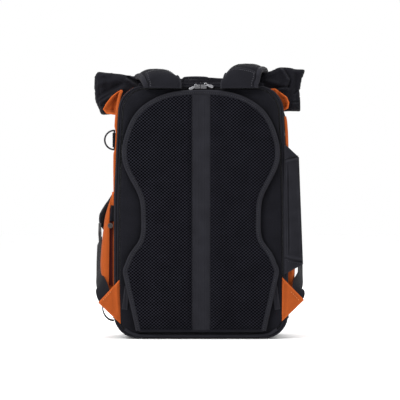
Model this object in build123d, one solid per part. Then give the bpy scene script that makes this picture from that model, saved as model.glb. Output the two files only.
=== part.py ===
"""Roll-top solar backpack with a zipped back-access door, in millimetres.

+Z is up and the base straps rest on z = 0. -Y is the wearer's side, with the door and its pads.
+Y is the outer side, with the front pocket and the solar panel. +X is to the right of a person
who looks at the wearer's side. The shoulder straps are folded over the top onto the outer side.
"""

from build123d import *
import os

# ---- driving dimensions ----
BODY_HALF = 150.5  # half of the body's width
BODY_TOP_HALF = 141.0
BODY_TOP = 437.0
BASE_BOTTOM = 1.5  # the base straps under it reach z = 0
BASE_TOP = 38.0  # upper edge of the moulded base
TAPER_FROM = 240.0  # the sides lean in above this height
RIM_BACK = -86.0  # outer face of the rim round the door
BODY_BACK = -82.0
FRONT = 74.0  # outer face of the front panel
HEAD_FRONT = -50.0  # the head is the tall part of the body behind the roll
ROOF_BACK = 384.0  # height of the body in front of the head, falling to ROOF_FRONT
ROOF_FRONT = 376.0
WALL = 4.0  # foam and fabric of the walls
CORNER = 36.0  # plan radius of the front corners
FRONT_SPLIT = 112.0  # half-width of the black front panel between the orange sides
DOOR_HALF = 139.2
DOOR_TOP_HALF = 132.5
DOOR_BOTTOM = 11.0
DOOR_TOP = 431.0
DOOR_SKIN = 2.0
SEAM = 0.3  # clearance between the door and what it closes against
ZIP_GAP = 2.3  # from the door's edge to the rim
DOOR_FACE = RIM_BACK - DOOR_SKIN
PAD_THICK = 14.0
PAD_FACE = DOOR_FACE - PAD_THICK
PAD_EDGE = 8.0  # width of the binding round the pads
CHANNEL_HALF = 16.8  # half of the ribbed strip between the two pads
ROLL_BACK = -46.0
ROLL_FRONT = -12.0
WEB = 25.0  # harness webbing
WEB_THICK = 1.8
STRAP_X = 66.0  # shoulder strap's centre line where it is sewn on
STRAP_WIDTH = 64.0
STRAP_THICK = 11.0
POCKET_HALF = 82.0
POCKET_BOTTOM = 40.0
POCKET_TOP = 345.0
POCKET_FACE = 94.0
POCKET_WALL = 2.0
PANEL_HALF = 76.0
PANEL_BOTTOM = 50.0
PANEL_TOP = 308.0
ANCHOR_BACK = -90.0  # rear face of the fabric triangles that hold the lower webbing
ANCHOR_THICK = 3.0
HANDLE_INNER = 143.8  # the side handle's inner edge, beside its hinge line
# height of each strap's centre line over the roll, and how far its lower run stands out
STRAP_CREST = {"left": 462.0, "right": 470.9}
STRAP_REACH = {"left": 180.5, "right": 175.5}
# how far each bottle pocket bulges from the middle, at five heights
POCKET_HEIGHTS = (42, 90, 128, 190, 250)
POCKET_BULGE = {"left": (158, 169, 174.5, 169, 159), "right": (157, 162, 163, 161, 158)}
SIDES = {"left": -1, "right": 1}

nodes = {}


# ---- helpers ----
def block(x, y, z):
    """A box from three (low, high) pairs."""
    size = [high - low for low, high in (x, y, z)]
    middle = [(high + low) / 2 for low, high in (x, y, z)]
    return Pos(*middle) * Box(*size)


def plate(sketch, y_low, y_high):
    """A sketch in X and Z, made solid from y_low to y_high."""
    return extrude(Plane.XZ.offset(-y_high) * sketch, amount=y_high - y_low)


def outline(points):
    """A closed polygon in X and Z."""
    return make_face(Polyline(points, close=True))


def prism_x(points, x_low, x_high):
    """A polygon of (y, z) points, made solid from x_low to x_high."""
    face = make_face(Polyline([(x_low, y, z) for y, z in points], close=True))
    return extrude(face, amount=x_high - x_low, dir=(1, 0, 0))


def leaning(half, top_half, bottom, top, r_bottom, r_top):
    """An upright rounded outline whose sides lean in above TAPER_FROM."""
    right = [(half, bottom), (half, TAPER_FROM), (top_half, top)]
    face = outline(right + [(-x, z) for x, z in reversed(right)])
    face = fillet([v for v in face.vertices() if v.Y > top - 1], r_top)
    face = fillet([v for v in face.vertices() if abs(v.Y - TAPER_FROM) < 1], 400)
    return fillet([v for v in face.vertices() if v.Y < bottom + 1], r_bottom)


def ribbon(points, across, widths, thicks):
    """A flat strap through points; across gives the direction of its width at each of them."""
    sections = []
    for i, point in enumerate(points):
        before = Vector(points[max(i - 1, 0)])
        after = Vector(points[min(i + 1, len(points) - 1)])
        along = (after - before).normalized()
        side = Vector(across[i])
        side = (side - along * side.dot(along)).normalized()
        sections.append(Plane(origin=point, x_dir=side, z_dir=along) * Rectangle(widths[i], thicks[i]))
    return loft(sections, ruled=True)


def on_side(points, sign):
    """Points or directions of the right-hand side, or the same on the left."""
    return [(sign * x, y, z) for x, y, z in points]


# ---- base, walls and rim ----
def body_outline():
    return leaning(BODY_HALF, BODY_TOP_HALF, BASE_BOTTOM, BODY_TOP, 40, 44)


def door_outline():
    return leaning(DOOR_HALF, DOOR_TOP_HALF, DOOR_BOTTOM, DOOR_TOP, 26, 40)


def body_solid(inset):
    """The body as one block, or the space inside it when inset is the wall's thickness."""
    back = BODY_BACK - 2 * inset
    profile = [
        (back, BASE_BOTTOM + inset),
        (FRONT - inset, BASE_BOTTOM + inset),
        (FRONT - inset, ROOF_FRONT - inset),
        (HEAD_FRONT - inset, ROOF_BACK - inset),
        (HEAD_FRONT - inset, BODY_TOP - inset),
        (back, BODY_TOP - inset),
    ]
    half = BODY_HALF - inset
    plan = Pos(0, (back + FRONT - inset) / 2) * Rectangle(2 * half, FRONT - inset - back)
    plan = fillet([v for v in plan.vertices() if v.Y > 0], CORNER - inset)
    solid = plate(offset(body_outline(), -inset) if inset else body_outline(), back, FRONT - inset)
    return solid & extrude(plan, amount=500) & prism_x(profile, -200, 200)


def body():
    shell = body_solid(0) - body_solid(WALL)
    low = block((-200, 200), (-100, 100), (0, BASE_TOP))
    nodes["base_tray"] = shell & low
    straps = [block((x - 15, x + 15), (-76, 58), (0, BASE_BOTTOM)) for x in (-86, 86)]
    nodes["base_straps"] = Compound(children=straps)
    upper = shell - low
    middle = block((-FRONT_SPLIT, FRONT_SPLIT), (-100, 100), (0, 500))
    roof = prism_x([(HEAD_FRONT, 366), (90, 366), (90, 500), (HEAD_FRONT, 500)], -200, 200)
    head = upper & block((-200, 200), (-100, HEAD_FRONT), (380, 500)) & middle
    nodes["top_yoke"] = head
    nodes["collar_roof"] = (upper & roof) - head
    rest = (upper - roof) - head
    nodes["front_panel"] = rest & middle & block((-200, 200), (0, 100), (0, 500))
    rest = rest - middle
    for side, sign in SIDES.items():
        half = block((-200, 0) if sign < 0 else (0, 200), (-100, 100), (0, 500))
        nodes[f"side_panel_{side}"] = rest & half


def rim():
    opening = offset(door_outline(), ZIP_GAP)
    nodes["door_rim"] = plate(body_outline() - opening, RIM_BACK, BODY_BACK)
    chain = plate(offset(door_outline(), ZIP_GAP - 0.1) - offset(door_outline(), SEAM), RIM_BACK - 0.8, RIM_BACK + 1.2)
    nodes["door_zip_chain"] = chain - block((-200, 200), (-100, 0), (0, 60))


def top():
    """The padded ridge of the yoke, the rolled closure and the orange gussets beside it."""
    ridge = block((-108, 108), (BODY_BACK + 1, HEAD_FRONT - 1), (BODY_TOP - 2, BODY_TOP + 5.6))
    nodes["top_yoke"] += fillet(ridge.edges().filter_by(Axis.X).group_by(Axis.Z)[-1], 2.5)
    upper = [(-176, 460), (-130, 456), (-60, 451), (60, 452), (120, 463), (136, 469), (178.7, 464)]
    right_end = [(172, 444.5), (169, 428), (170, 393)]
    left_end = [(-169.5, 387.5), (-180, 411), (-182.5, 432), (-181.5, 450)]
    face = outline(upper + right_end + left_end)
    core = plate(face, ROLL_BACK + 6, ROLL_FRONT - 6)
    rear = extrude(Plane.XZ.offset(-ROLL_BACK - 6) * face, amount=6, taper=40)
    front = mirror(extrude(Plane.XZ.offset(ROLL_FRONT - 6) * face, amount=6, taper=40), Plane.XZ)
    nodes["roll_top"] = core + rear + front
    gussets = []
    for sign, points in (
        (-1, [(-134, 386), (-165, 390), (-170, 397.5), (-155, 419), (-136, 430.5), (-118, 430)]),
        (1, [(134, 386), (142, 394), (151, 398.6), (152.8, 408), (148.6, 418), (128.6, 432.4), (118, 432)]),
    ):
        wedge = plate(outline(points), BODY_BACK + 0.2, ROLL_BACK - 0.3)
        wedge -= nodes[f"side_panel_{'left' if sign < 0 else 'right'}"] + body_solid(WALL)
        gussets.append(wedge - nodes["top_yoke"])
    nodes["collar_gussets"] = Compound(children=[s for g in gussets for s in g.solids() if s.volume > 500])


# ---- the back door, its pads and frame ----
def pad_outline(inset=0.0):
    """The hourglass outline of the door's padding in X and Z, or one that lies inside it."""
    half = [(0, 429), (70, 419), (110, 392), (129, 356), (135.5, 314), (122, 276), (105.3, 241)]
    half += [(102.4, 208), (107, 169), (122, 148), (132.4, 124), (131.4, 102)]
    foot, lean = 13.5, 0.227  # the straight lower edges run down and inwards to the foot
    curve = Spline(half, tangents=[(1, 0), (-lean, -1)])
    points = []
    for x, z in half:
        along = curve.tangent_at(curve.param_at_point((x, z)))
        points.append((x + inset * along.Y, z - inset * along.X))
    right = Spline(points, tangents=[(1, 0), (-lean, -1)])
    x, z = points[-1]
    corner = x - lean * (z - foot - inset)
    legs = Polyline([(x, z), (corner, foot + inset), (-corner, foot + inset), (-x, z)])
    return make_face([right, mirror(right, Plane.YZ), legs])


def door():
    panel = door_outline()
    nodes["door_panel"] = plate(panel, DOOR_FACE, RIM_BACK)
    nodes["frame_sheet"] = plate(offset(panel, -12), RIM_BACK, RIM_BACK + 1.5)
    stays = [block((x - 6, x + 6), (RIM_BACK + 1.5, RIM_BACK + 4.5), (48, 404)) for x in (-55, 55)]
    nodes["frame_stays"] = Compound(children=stays)
    nodes["door_lining"] = plate(offset(panel, -6), RIM_BACK + 4.5, RIM_BACK + 6.5)
    pads = pad_outline()
    inside = pad_outline(PAD_EDGE)
    nodes["pad_binding"] = plate(pads - inside, PAD_FACE + 3, DOOR_FACE)
    for side, sign in SIDES.items():
        half = Pos(sign * (CHANNEL_HALF + 80), 220) * Rectangle(160, 440)
        nodes[f"back_pad_{side}"] = plate(inside & half, PAD_FACE, DOOR_FACE)
    strip = Pos(0, 220) * Rectangle(2 * CHANNEL_HALF, 440)
    nodes["channel_strip"] = plate(inside & strip, PAD_FACE + 6, DOOR_FACE)
    flaps = []
    for sign in SIDES.values():
        flap = Pos(sign * 129, 71) * Rotation(0, 0, -sign * 8) * RectangleRounded(7, 41, 1.5)
        flaps.append(plate(flap, DOOR_FACE - 5, DOOR_FACE) - nodes["pad_binding"])
    nodes["belt_slot_flaps"] = Compound(children=[s for f in flaps for s in f.solids()])


def slider(x, face, z, angle):
    """A zip slider: a body on the chain and a narrow arch in line with its pull."""
    body = block((x - 5, x + 5), (face - 2.2, face), (z - 3.4, z + 3.4))
    arch = block((-1.1, 1.1), (face - 5.4, face - 2.2), (-3.2, 3.2))
    arch -= block((-2, 2), (face - 4.5, face - 2.2), (-2.2, 2.2))
    return body + Pos(x, 0, z) * Rotation(0, angle, 0) * arch


def pull(x, face, z, angle):
    """A flat metal pull whose crossbar lies under the slider's arch; angle turns it in its plane."""
    tab = Pos(0, -9.6) * RectangleRounded(6.6, 20.8, 2.8)
    tab -= Pos(0, -2.5) * Rectangle(3.2, 3.8)
    tab -= Pos(0, -13.5) * RectangleRounded(3.0, 7.0, 1.4)
    return Pos(x, 0, z) * Rotation(0, angle, 0) * plate(tab, face - 3.95, face - 2.75)


def door_zip():
    z = DOOR_TOP + 4.4
    face = RIM_BACK - 1.0
    for side, x, angle in (("left", -6.5, 84.0), ("right", 4.5, -88.0)):
        nodes[f"door_zip_slider_{side}"] = slider(x, face, z, angle)
        nodes[f"door_zip_pull_{side}"] = pull(x, face, z, angle)


# ---- carrying parts ----
def grab_handle():
    x_low, x_high, y, z = -32.0, 14.0, -74.0, BODY_TOP + 6.4
    legs = block((x_low, x_low + 8), (y - 1.2, y + 1.2), (z, z + 6))
    legs += block((x_high - 8, x_high), (y - 1.2, y + 1.2), (z, z + 6))
    grip = block((x_low, x_high), (y - 2.6, y + 2.6), (z + 5.3, z + 10.4))
    nodes["grab_handle"] = legs + fillet(grip.edges().filter_by(Axis.X), 2.2)


def shoulder_straps():
    for side, sign in SIDES.items():
        reach = STRAP_REACH[side]
        crest = STRAP_CREST[side]
        path = [
            (STRAP_X, -98.6, 432.4),
            (STRAP_X, -98.4, 446),
            (STRAP_X + 3, -92, crest - 7),
            (STRAP_X + 8, -74, crest - 0.8),
            (STRAP_X + 13, -46, crest),
            (STRAP_X + 17, -12, crest - 1.5),
            (STRAP_X + 22, 22, crest - 16),
            (STRAP_X + 29, 54, 424),
            (STRAP_X + 40, 77, 392),
            (STRAP_X + 51, 84, 358),
            (120, 86, 320),
            (123, 87, 280),
            (130, 87, 250),
            (143, 84, 227),
            (158, 70, 208),
            (reach - 6, 46, 193),
        ]
        across = [(1, 0, 0)] * 8 + [(1, 0, 0.15)] * 4
        across += [(1, 0, 0.6), (0.8, -0.3, 1), (0.5, -0.3, 1), (0.1, 0.4, 1)]
        widths = [STRAP_WIDTH] * 9 + [62, 60, 56, 50, 44, 36, 28]
        thicks = [STRAP_THICK] * 13 + [9, 7, 5]
        strap = ribbon(on_side(path, sign), on_side(across, sign), widths, thicks)
        tongue = (sign * STRAP_X - 26, sign * STRAP_X + 26)
        nodes[f"shoulder_strap_{side}"] = strap + block(tongue, (-94.0, BODY_BACK - 1.2), (440.5, 443))
        spot = Plane(origin=(sign * (reach - 1), 31, 181), x_dir=(0, 0.6, 0.8), z_dir=(sign, 0, 0))
        lock = RectangleRounded(24, 33, 4) - Pos(-5, 0) * Rectangle(4.6, 26.4) - Pos(5, 0) * Rectangle(4.6, 26.4)
        nodes[f"ladder_lock_{side}"] = extrude(spot * lock, amount=2.2, both=True)
        web = [
            (reach, 19, 167),
            (reach + 1.5, -8, 140),
            (reach + 1, -34, 118),
            (reach - 1, -58, 104),
            (reach - 6, -78, 96),
            (162, -85.0, 84),
        ]
        spread = [(0, 0.8, -0.6), (0, 0.75, -0.65), (0, 0.6, -0.8), (0.15, 0.4, -0.9), (0.5, 0.1, -0.85), (0.67, 0, -0.74)]
        webbing = ribbon(on_side(web, sign), on_side(spread, sign), [WEB] * 6, [WEB_THICK] * 6)
        nodes[f"lower_webbing_{side}"] = webbing
        points = [(sign * 139.8, 106), (sign * 175.9, 67), (sign * 139.6, 28.5)]
        flap = plate(outline(points), ANCHOR_BACK, ANCHOR_BACK + ANCHOR_THICK)
        nodes[f"strap_anchor_{side}"] = flap - webbing


def side_fittings():
    # D-ring at the left edge: its straight bar lies in a sewn tunnel
    x, y, z, radius, rod = -149.8, -78.0, 343.5, 16.6, 1.5
    curve = Edge.make_circle(radius, Plane.XZ, 90, 270)
    bar = Edge.make_line((0, 0, radius), (0, 0, -radius))
    tips = [c * Sphere(rod) for c in (Pos(0, 0, radius), Pos(0, 0, -radius))]
    bend = sweep(Plane(origin=(0, 0, radius), z_dir=(1, 0, 0)) * Circle(rod), path=curve)
    straight = sweep(Plane(origin=(0, 0, radius), z_dir=(0, 0, -1)) * Circle(rod), path=bar)
    nodes["d_ring"] = Pos(x, y, z) * (bend + straight + tips[0] + tips[1])
    tunnel = Pos(x, y, z) * (Cylinder(3.2, 25) - Cylinder(rod + 0.35, 30))
    nodes["d_ring_tunnel"] = tunnel - nodes["side_panel_left"]
    # padded carry handle at the right edge, a flat sleeve with two folded ends
    sleeve = outline([(HANDLE_INNER, 309), (169, 313.5), (176, 129), (HANDLE_INNER, 139)])
    ends = outline([(HANDLE_INNER, 334), (147, 334), (169, 313.5), (176, 129), (161, 121), (HANDLE_INNER, 111)])
    handle = plate(sleeve, RIM_BACK - 7.6, RIM_BACK - 0.6) + plate(ends, RIM_BACK - 5.6, RIM_BACK - 2.6)
    nodes["side_handle"] = handle
    tab = outline([(134.5, 404), (140, 399), (143.5, 392), (146.5, 381), (139, 381), (137, 392)])
    tab = plate(tab, BODY_BACK + 0.4, -60) - nodes["side_panel_right"] - body_solid(WALL)
    nodes["collar_strap_right"] = tab - nodes["collar_gussets"]
    # loop of narrow webbing from the left anchor to the base
    path = [(-170, -81.5, 60), (-169.5, -81.5, 50), (-166, -81.5, 41), (-159, -81.5, 34), (-150.2, -81.5, 31.5)]
    nodes["base_loop_left"] = ribbon(path, [(0, 1, 0)] * 5, [7] * 5, [1.4] * 5)


def bottle_pockets():
    wall = BODY_HALF + 0.2
    for side, sign in SIDES.items():

        def level(z, bulge, y_low, y_high, inner):
            ends = (sign * inner, y_low), (sign * inner, y_high)
            arc = ThreePointArc(ends[0], (sign * bulge, (y_low + y_high) / 2 - 4), ends[1])
            return Pos(0, 0, z) * make_face([arc, Line(ends[1], ends[0])])

        levels = list(zip(POCKET_HEIGHTS, POCKET_BULGE[side]))
        outer = loft([level(z, bulge, -77, 46, wall) for z, bulge in levels], ruled=True)
        inner = [level(z + 2, bulge - 2, -73, 42, wall) for z, bulge in levels]
        nodes[f"bottle_pocket_{side}"] = outer - loft(inner, ruled=True)
    # barrel lock for the left pocket's drawcord, with its press button
    spot = Pos(-156.5, -86, 195.6) * Rotation(90, 0, 0)
    nodes["cord_lock_barrel"] = spot * (Cylinder(4.4, 12) - Pos(0, 0, 3) * Cylinder(3.1, 12))
    nodes["cord_lock_button"] = spot * Pos(0, 0, 4.0) * Cylinder(2.8, 8)


# ---- the outer side: pocket, solar panel, closure ----
def front_pocket():
    middle = (POCKET_BOTTOM + POCKET_TOP) / 2
    outer = Pos(0, middle) * RectangleRounded(2 * POCKET_HALF, POCKET_TOP - POCKET_BOTTOM, 14)
    box = plate(outer, FRONT + 0.2, POCKET_FACE)
    box -= plate(offset(outer, -POCKET_WALL), FRONT + POCKET_WALL, POCKET_FACE - POCKET_WALL)
    box -= block((-66, 66), (POCKET_FACE - 3, POCKET_FACE + 1), (326.5, 331.5))
    nodes["front_pocket"] = box
    nodes["pocket_zip_chain"] = block((-65.8, 65.8), (POCKET_FACE - 1.8, POCKET_FACE - 0.2), (326.7, 331.3))
    turn = Rotation(0, 0, 180)
    nodes["pocket_zip_slider"] = turn * slider(58, -POCKET_FACE - 0.3, 329, 0)
    nodes["pocket_zip_pull"] = turn * pull(58, -POCKET_FACE - 0.3, 329, 0)


def solar_panel():
    middle = (PANEL_BOTTOM + PANEL_TOP) / 2
    height = PANEL_TOP - PANEL_BOTTOM
    face = POCKET_FACE + 0.2
    sheet = Pos(0, middle) * RectangleRounded(2 * PANEL_HALF, height, 8)
    window = Pos(0, middle) * RectangleRounded(2 * PANEL_HALF - 16, height - 16, 3)
    nodes["panel_backsheet"] = plate(sheet, face, face + 1.6)
    nodes["panel_border"] = plate(sheet - window, face + 1.6, face + 3.6)
    cell_w, cell_h, columns, rows, space = 66.0, 57.0, 2, 4, 2.5
    cells = []
    for column in range(columns):
        x = (column - (columns - 1) / 2) * (cell_w + space)
        for row in range(rows):
            z = middle + (row - (rows - 1) / 2) * (cell_h + space)
            cell = Pos(x, z) * Rectangle(cell_w, cell_h)
            cells.append(plate(chamfer(cell.vertices(), 5), face + 1.6, face + 2.1))
    nodes["solar_cells"] = Compound(children=cells)
    cover = Pos(0, middle) * RectangleRounded(2 * PANEL_HALF - 16.4, height - 16.4, 3)
    nodes["panel_cover"] = plate(cover, face + 2.1, face + 3.0)
    rings = []
    for x in (-PANEL_HALF + 4.5, PANEL_HALF - 4.5):
        for z in (PANEL_BOTTOM + 5.5, middle, PANEL_TOP - 5.5):
            rings.append(plate(Pos(x, z) * (Circle(3.4) - Circle(1.6)), face + 3.6, face + 4.4))
    nodes["panel_eyelets"] = Compound(children=rings)


def controller():
    """The charge controller behind the panel, inside the front pocket, with its USB socket."""
    back = POCKET_FACE - POCKET_WALL - 0.2
    case = fillet(block((-34, 34), (back - 13, back), (262, 304)).edges().filter_by(Axis.Y), 4.0)
    case -= block((-31.5, 31.5), (back - 11, back - 2), (264.5, 301.5))
    nodes["controller_case"] = case - block((-22, -8), (back - 9, back - 3), (255, 270))
    board = block((-29, 29), (back - 3.6, back - 2.2), (267, 299))
    socket = block((-21.6, -8.4), (back - 8.8, back - 3.6), (262.4, 276))
    socket -= block((-20.6, -9.4), (back - 8.4, back - 4.0), (260, 275))
    nodes["controller_board"] = board
    nodes["usb_socket"] = socket
    nodes["usb_cover"] = block((-23.5, -6.5), (back - 10.6, back - 2.2), (260.0, 261.7))


def closure():
    down = [(-11.4, 440), (-9.8, 420), (2, 402), (24, 390.5), (50, 384.5), (72, 380.5), (75.4, 374), (75.4, 370.6)]
    path = [(0, y + 0.6, z) for y, z in down]
    nodes["closure_strap"] = ribbon(path, [(1, 0, 0)] * 8, [WEB] * 8, [WEB_THICK] * 8)
    loops = [block((-17, 17), (FRONT, FRONT + 1.6), (z, z + 3)) for z in (347.5, 354.5)]
    nodes["closure_loops"] = Compound(children=loops)
    hook = RectangleRounded(32, 17, 4) - Pos(0, 3.2) * Rectangle(26, 4.2) - Pos(0, -3.6) * Rectangle(26, 4.2)
    hook -= Pos(13, -3.6) * Rectangle(8, 2.6)
    nodes["closure_hook"] = plate(Pos(0, 361) * hook, FRONT + 2.0, FRONT + 4.8)


# ---- inside the main compartment ----
def inside_parts():
    face = FRONT - WALL - 0.2
    sleeve = block((-110, 110), (face - 24, face), (60, 320))
    nodes["laptop_sleeve"] = sleeve - block((-107, 107), (face - 21, face - 2), (63, 330))
    pouch = block((50, 102), (face - 50, face - 24.2), (150, 262))
    nodes["battery_pouch"] = pouch - block((52, 100), (face - 48, face - 26.2), (152, 270))


def main():
    body()
    rim()
    top()
    door()
    door_zip()
    grab_handle()
    side_fittings()
    bottle_pockets()
    shoulder_straps()
    front_pocket()
    solar_panel()
    controller()
    closure()
    inside_parts()
    os.makedirs("parts", exist_ok=True)
    for name, shape in nodes.items():
        export_step(shape, f"parts/{name}.step")


main()
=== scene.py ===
"""Looks of the roll-top solar backpack: fabric, foam, webbing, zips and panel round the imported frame.

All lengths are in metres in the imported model's frame: -Y is the wearer's side and +Z is up.
"""
import math

import bmesh
import bpy
import numpy as np
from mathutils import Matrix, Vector
from mathutils.bvhtree import BVHTree


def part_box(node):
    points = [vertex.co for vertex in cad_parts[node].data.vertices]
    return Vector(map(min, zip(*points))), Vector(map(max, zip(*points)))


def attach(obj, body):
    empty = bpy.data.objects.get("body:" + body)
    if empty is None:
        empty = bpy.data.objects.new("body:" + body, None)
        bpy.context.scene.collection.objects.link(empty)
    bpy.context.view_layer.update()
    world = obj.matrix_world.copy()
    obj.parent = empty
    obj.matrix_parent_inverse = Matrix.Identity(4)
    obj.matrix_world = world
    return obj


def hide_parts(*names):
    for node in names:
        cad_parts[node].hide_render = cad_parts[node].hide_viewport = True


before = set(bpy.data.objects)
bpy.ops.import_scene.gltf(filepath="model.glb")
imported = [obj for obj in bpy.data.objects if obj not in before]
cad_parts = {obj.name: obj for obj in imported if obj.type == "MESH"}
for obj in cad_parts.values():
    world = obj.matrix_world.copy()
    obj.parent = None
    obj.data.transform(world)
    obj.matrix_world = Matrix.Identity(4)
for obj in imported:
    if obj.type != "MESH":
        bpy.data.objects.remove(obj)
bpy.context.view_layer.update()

MM = 0.001
SIDES = {"left": -1, "right": 1}


# ---------------------------------------------------------------- camera, light and floor
def camera():
    """A long lens, level with the middle of the pack, that looks along +Y."""
    distance, width = 4.0, 0.688  # the view is this wide where the pads are
    aside, height = -0.0017, 0.2398
    data = bpy.data.cameras.new("camera")
    data.lens = data.sensor_width * (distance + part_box("pad_binding")[0].y) / width
    data.clip_end = 60
    obj = bpy.data.objects.new("camera", data)
    obj.location = (aside, -distance, height)
    obj.rotation_euler = (math.pi / 2, 0, 0)
    bpy.context.scene.collection.objects.link(obj)
    bpy.context.scene.camera = obj


def softbox(name, place, aim, size, power):
    data = bpy.data.lights.new(name, "AREA")
    data.shape = "RECTANGLE"
    data.size, data.size_y = size
    data.energy = power
    obj = bpy.data.objects.new(name, data)
    obj.location = place
    obj.rotation_euler = (Vector(aim) - Vector(place)).to_track_quat("-Z", "Y").to_euler()
    bpy.context.scene.collection.objects.link(obj)


def studio():
    scene = bpy.context.scene
    scene.view_settings.view_transform = "Standard"
    world = bpy.data.worlds.new("studio")
    world.use_nodes = True
    world.node_tree.nodes["Background"].inputs["Color"].default_value = (1, 1, 1, 1)
    world.node_tree.nodes["Background"].inputs["Strength"].default_value = 1.0
    scene.world = world
    middle = (0, 0, 0.24)
    softbox("key", (-1.3, -1.7, 1.7), middle, (0.8, 0.8), 42)
    softbox("fill", (1.9, -1.5, 0.8), middle, (1.0, 1.4), 3)
    softbox("top", (0, -0.3, 2.4), middle, (1.4, 1.0), 22)
    softbox("back", (0.6, 2.2, 1.5), middle, (1.4, 1.4), 22)
    bpy.ops.mesh.primitive_plane_add(size=24, location=(0, 0, 0))
    floor = bpy.context.object
    floor.name = "floor"
    material = bpy.data.materials.new("floor_paper")
    material.use_nodes = True
    shader = material.node_tree.nodes["Principled BSDF"]
    shader.inputs["Base Color"].default_value = (1.0, 1.0, 1.0, 1)
    shader.inputs["Roughness"].default_value = 0.9
    floor.data.materials.append(material)


# ---------------------------------------------------------------- materials
class Nodes:
    """Short calls for building a material's node tree."""

    def __init__(self, name, color, roughness, **sockets):
        self.material = bpy.data.materials.new(name)
        self.material.use_nodes = True
        self.tree = self.material.node_tree
        self.shader = self.tree.nodes["Principled BSDF"]
        self.color = color
        self.set(self.shader, "Base Color", (*color, 1))
        self.set(self.shader, "Roughness", roughness)
        for key, value in sockets.items():
            self.set(self.shader, key.replace("_", " "), value)

    def set(self, node, socket, value):
        if hasattr(value, "is_output"):
            self.tree.links.new(value, node.inputs[socket])
        else:
            node.inputs[socket].default_value = value

    def node(self, kind, out=0, props=None, **sockets):
        made = self.tree.nodes.new(kind)
        for key, value in (props or {}).items():
            setattr(made, key, value)
        for key, value in sockets.items():
            self.set(made, int(key[1:]) if key[1:].isdigit() else key.replace("_", " "), value)
        return made.outputs[out]

    def math(self, operation, a, b=0.0):
        return self.node("ShaderNodeMath", props={"operation": operation}, _0=a, _1=b)

    def coordinates(self, uv):
        return self.node("ShaderNodeTexCoord", out="UV" if uv else "Object")

    def axes(self, uv):
        split = self.tree.nodes.new("ShaderNodeSeparateXYZ")
        self.set(split, 0, self.coordinates(uv))
        return split.outputs

    def wave(self, axis, pitch):
        """cos of 2 pi axis / pitch."""
        turn = self.math("MULTIPLY_ADD", axis, 2 * math.pi / pitch)
        turn.node.inputs[2].default_value = 0.0
        return self.math("COSINE", turn)

    def noise(self, uv, scale, detail=3.0):
        return self.node("ShaderNodeTexNoise", Vector=self.coordinates(uv), Scale=scale, Detail=detail)

    def ramp(self, value, low, high):
        made = self.tree.nodes.new("ShaderNodeMapRange")
        self.set(made, "Value", value)
        for key, number in zip(("From Min", "From Max", "To Min", "To Max"), (*low, *high)):
            made.inputs[key].default_value = number
        return made.outputs[0]

    def tint(self, factor):
        """The base colour times a factor that varies over the surface."""
        scale = self.tree.nodes.new("ShaderNodeVectorMath")
        scale.operation = "SCALE"
        scale.inputs[0].default_value = self.color
        self.set(scale, "Scale", factor)
        self.set(self.shader, "Base Color", scale.outputs[0])

    def bump(self, height, distance, strength=0.7):
        made = self.node("ShaderNodeBump", Height=height, Distance=distance, Strength=strength)
        self.set(self.shader, "Normal", made)

    def worn(self, amount):
        """A factor that is a little higher along convex edges."""
        pointiness = self.node("ShaderNodeNewGeometry", out="Pointiness")
        return self.ramp(pointiness, (0.5, 0.62), (1.0, 1.0 + amount))


def woven(name, color, weave="twill", pitch=0.9 * MM, depth=0.00012, uv=True, sheen=0.03, rough=0.82,
        vary=0.16):
    """Cloth with its own weave, painted shade in the weave's hollows, uneven dye, lint and edges that have
    rubbed a little lighter.
    """
    made = Nodes(name, color, rough, Sheen_Weight=sheen, Sheen_Roughness=0.5, Specular_IOR_Level=0.05)
    x, y, z = made.axes(uv)
    if not uv:
        x, y = made.math("ADD", x, y), z
    if weave == "twill":
        height = made.wave(made.math("ADD", x, y), pitch)
    elif weave == "rib":
        height = made.math("ADD", made.wave(x, pitch), made.math("MULTIPLY", made.wave(y, pitch * 3), 0.3))
    elif weave == "knit":
        height = made.math("MULTIPLY", made.wave(x, pitch), made.wave(y, pitch * 0.8))
    else:
        height = made.math("MAXIMUM", made.wave(x, pitch), made.wave(y, pitch))
    dye = made.ramp(made.noise(uv, 38), (0.3, 0.7), (1 - vary, 1 + vary))
    lint = made.ramp(made.noise(uv, 900, 2.0), (0.35, 0.75), (0.9, 1.18))
    # Painted shade: the cloth's colour is darker in the hollows of the weave and lighter on its raised
    # threads.
    weave_hollow_shade = made.ramp(height, (-1, 1), (0.84, 1.12))
    factor = made.math("MULTIPLY", made.math("MULTIPLY", dye, lint),
        made.math("MULTIPLY", weave_hollow_shade, made.worn(0.9)))
    made.tint(factor)
    made.bump(height, depth)
    made.set(made.shader, "Roughness", made.ramp(made.noise(uv, 160), (0.3, 0.7),
        (rough - 0.07, rough + 0.07)))
    return made.material


def air_mesh(name, color):
    """Spacer mesh: dark holes on a staggered grid, between knitted walls; the holes' darkness and the darker
    hollows of the fine knit are painted shade.
    """
    made = Nodes(name, color, 0.9, Sheen_Weight=0.01, Specular_IOR_Level=0.02)
    x, _, z = made.axes(False)
    holes = made.math("MULTIPLY", made.wave(x, MESH_X), made.wave(z, MESH_Z))
    fine = made.math("MULTIPLY", made.wave(made.math("ADD", x, z), 0.9 * MM),
        made.wave(made.math("SUBTRACT", x, z), 0.9 * MM))
    dye = made.ramp(made.noise(False, 30), (0.3, 0.7), (0.85, 1.15))
    # Painted shade: the colour falls almost to black in the holes and rises on the tops between them; the
    # fine knit is darker in its hollows.
    painted_hole_shade = made.ramp(holes, (-0.45, 0.30), (2.3, 0.01))
    made.tint(made.math("MULTIPLY", made.math("MULTIPLY", dye, painted_hole_shade), made.ramp(fine, (-1, 1), (0.9, 1.1))))
    made.bump(fine, 0.0001)
    return made.material


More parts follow.
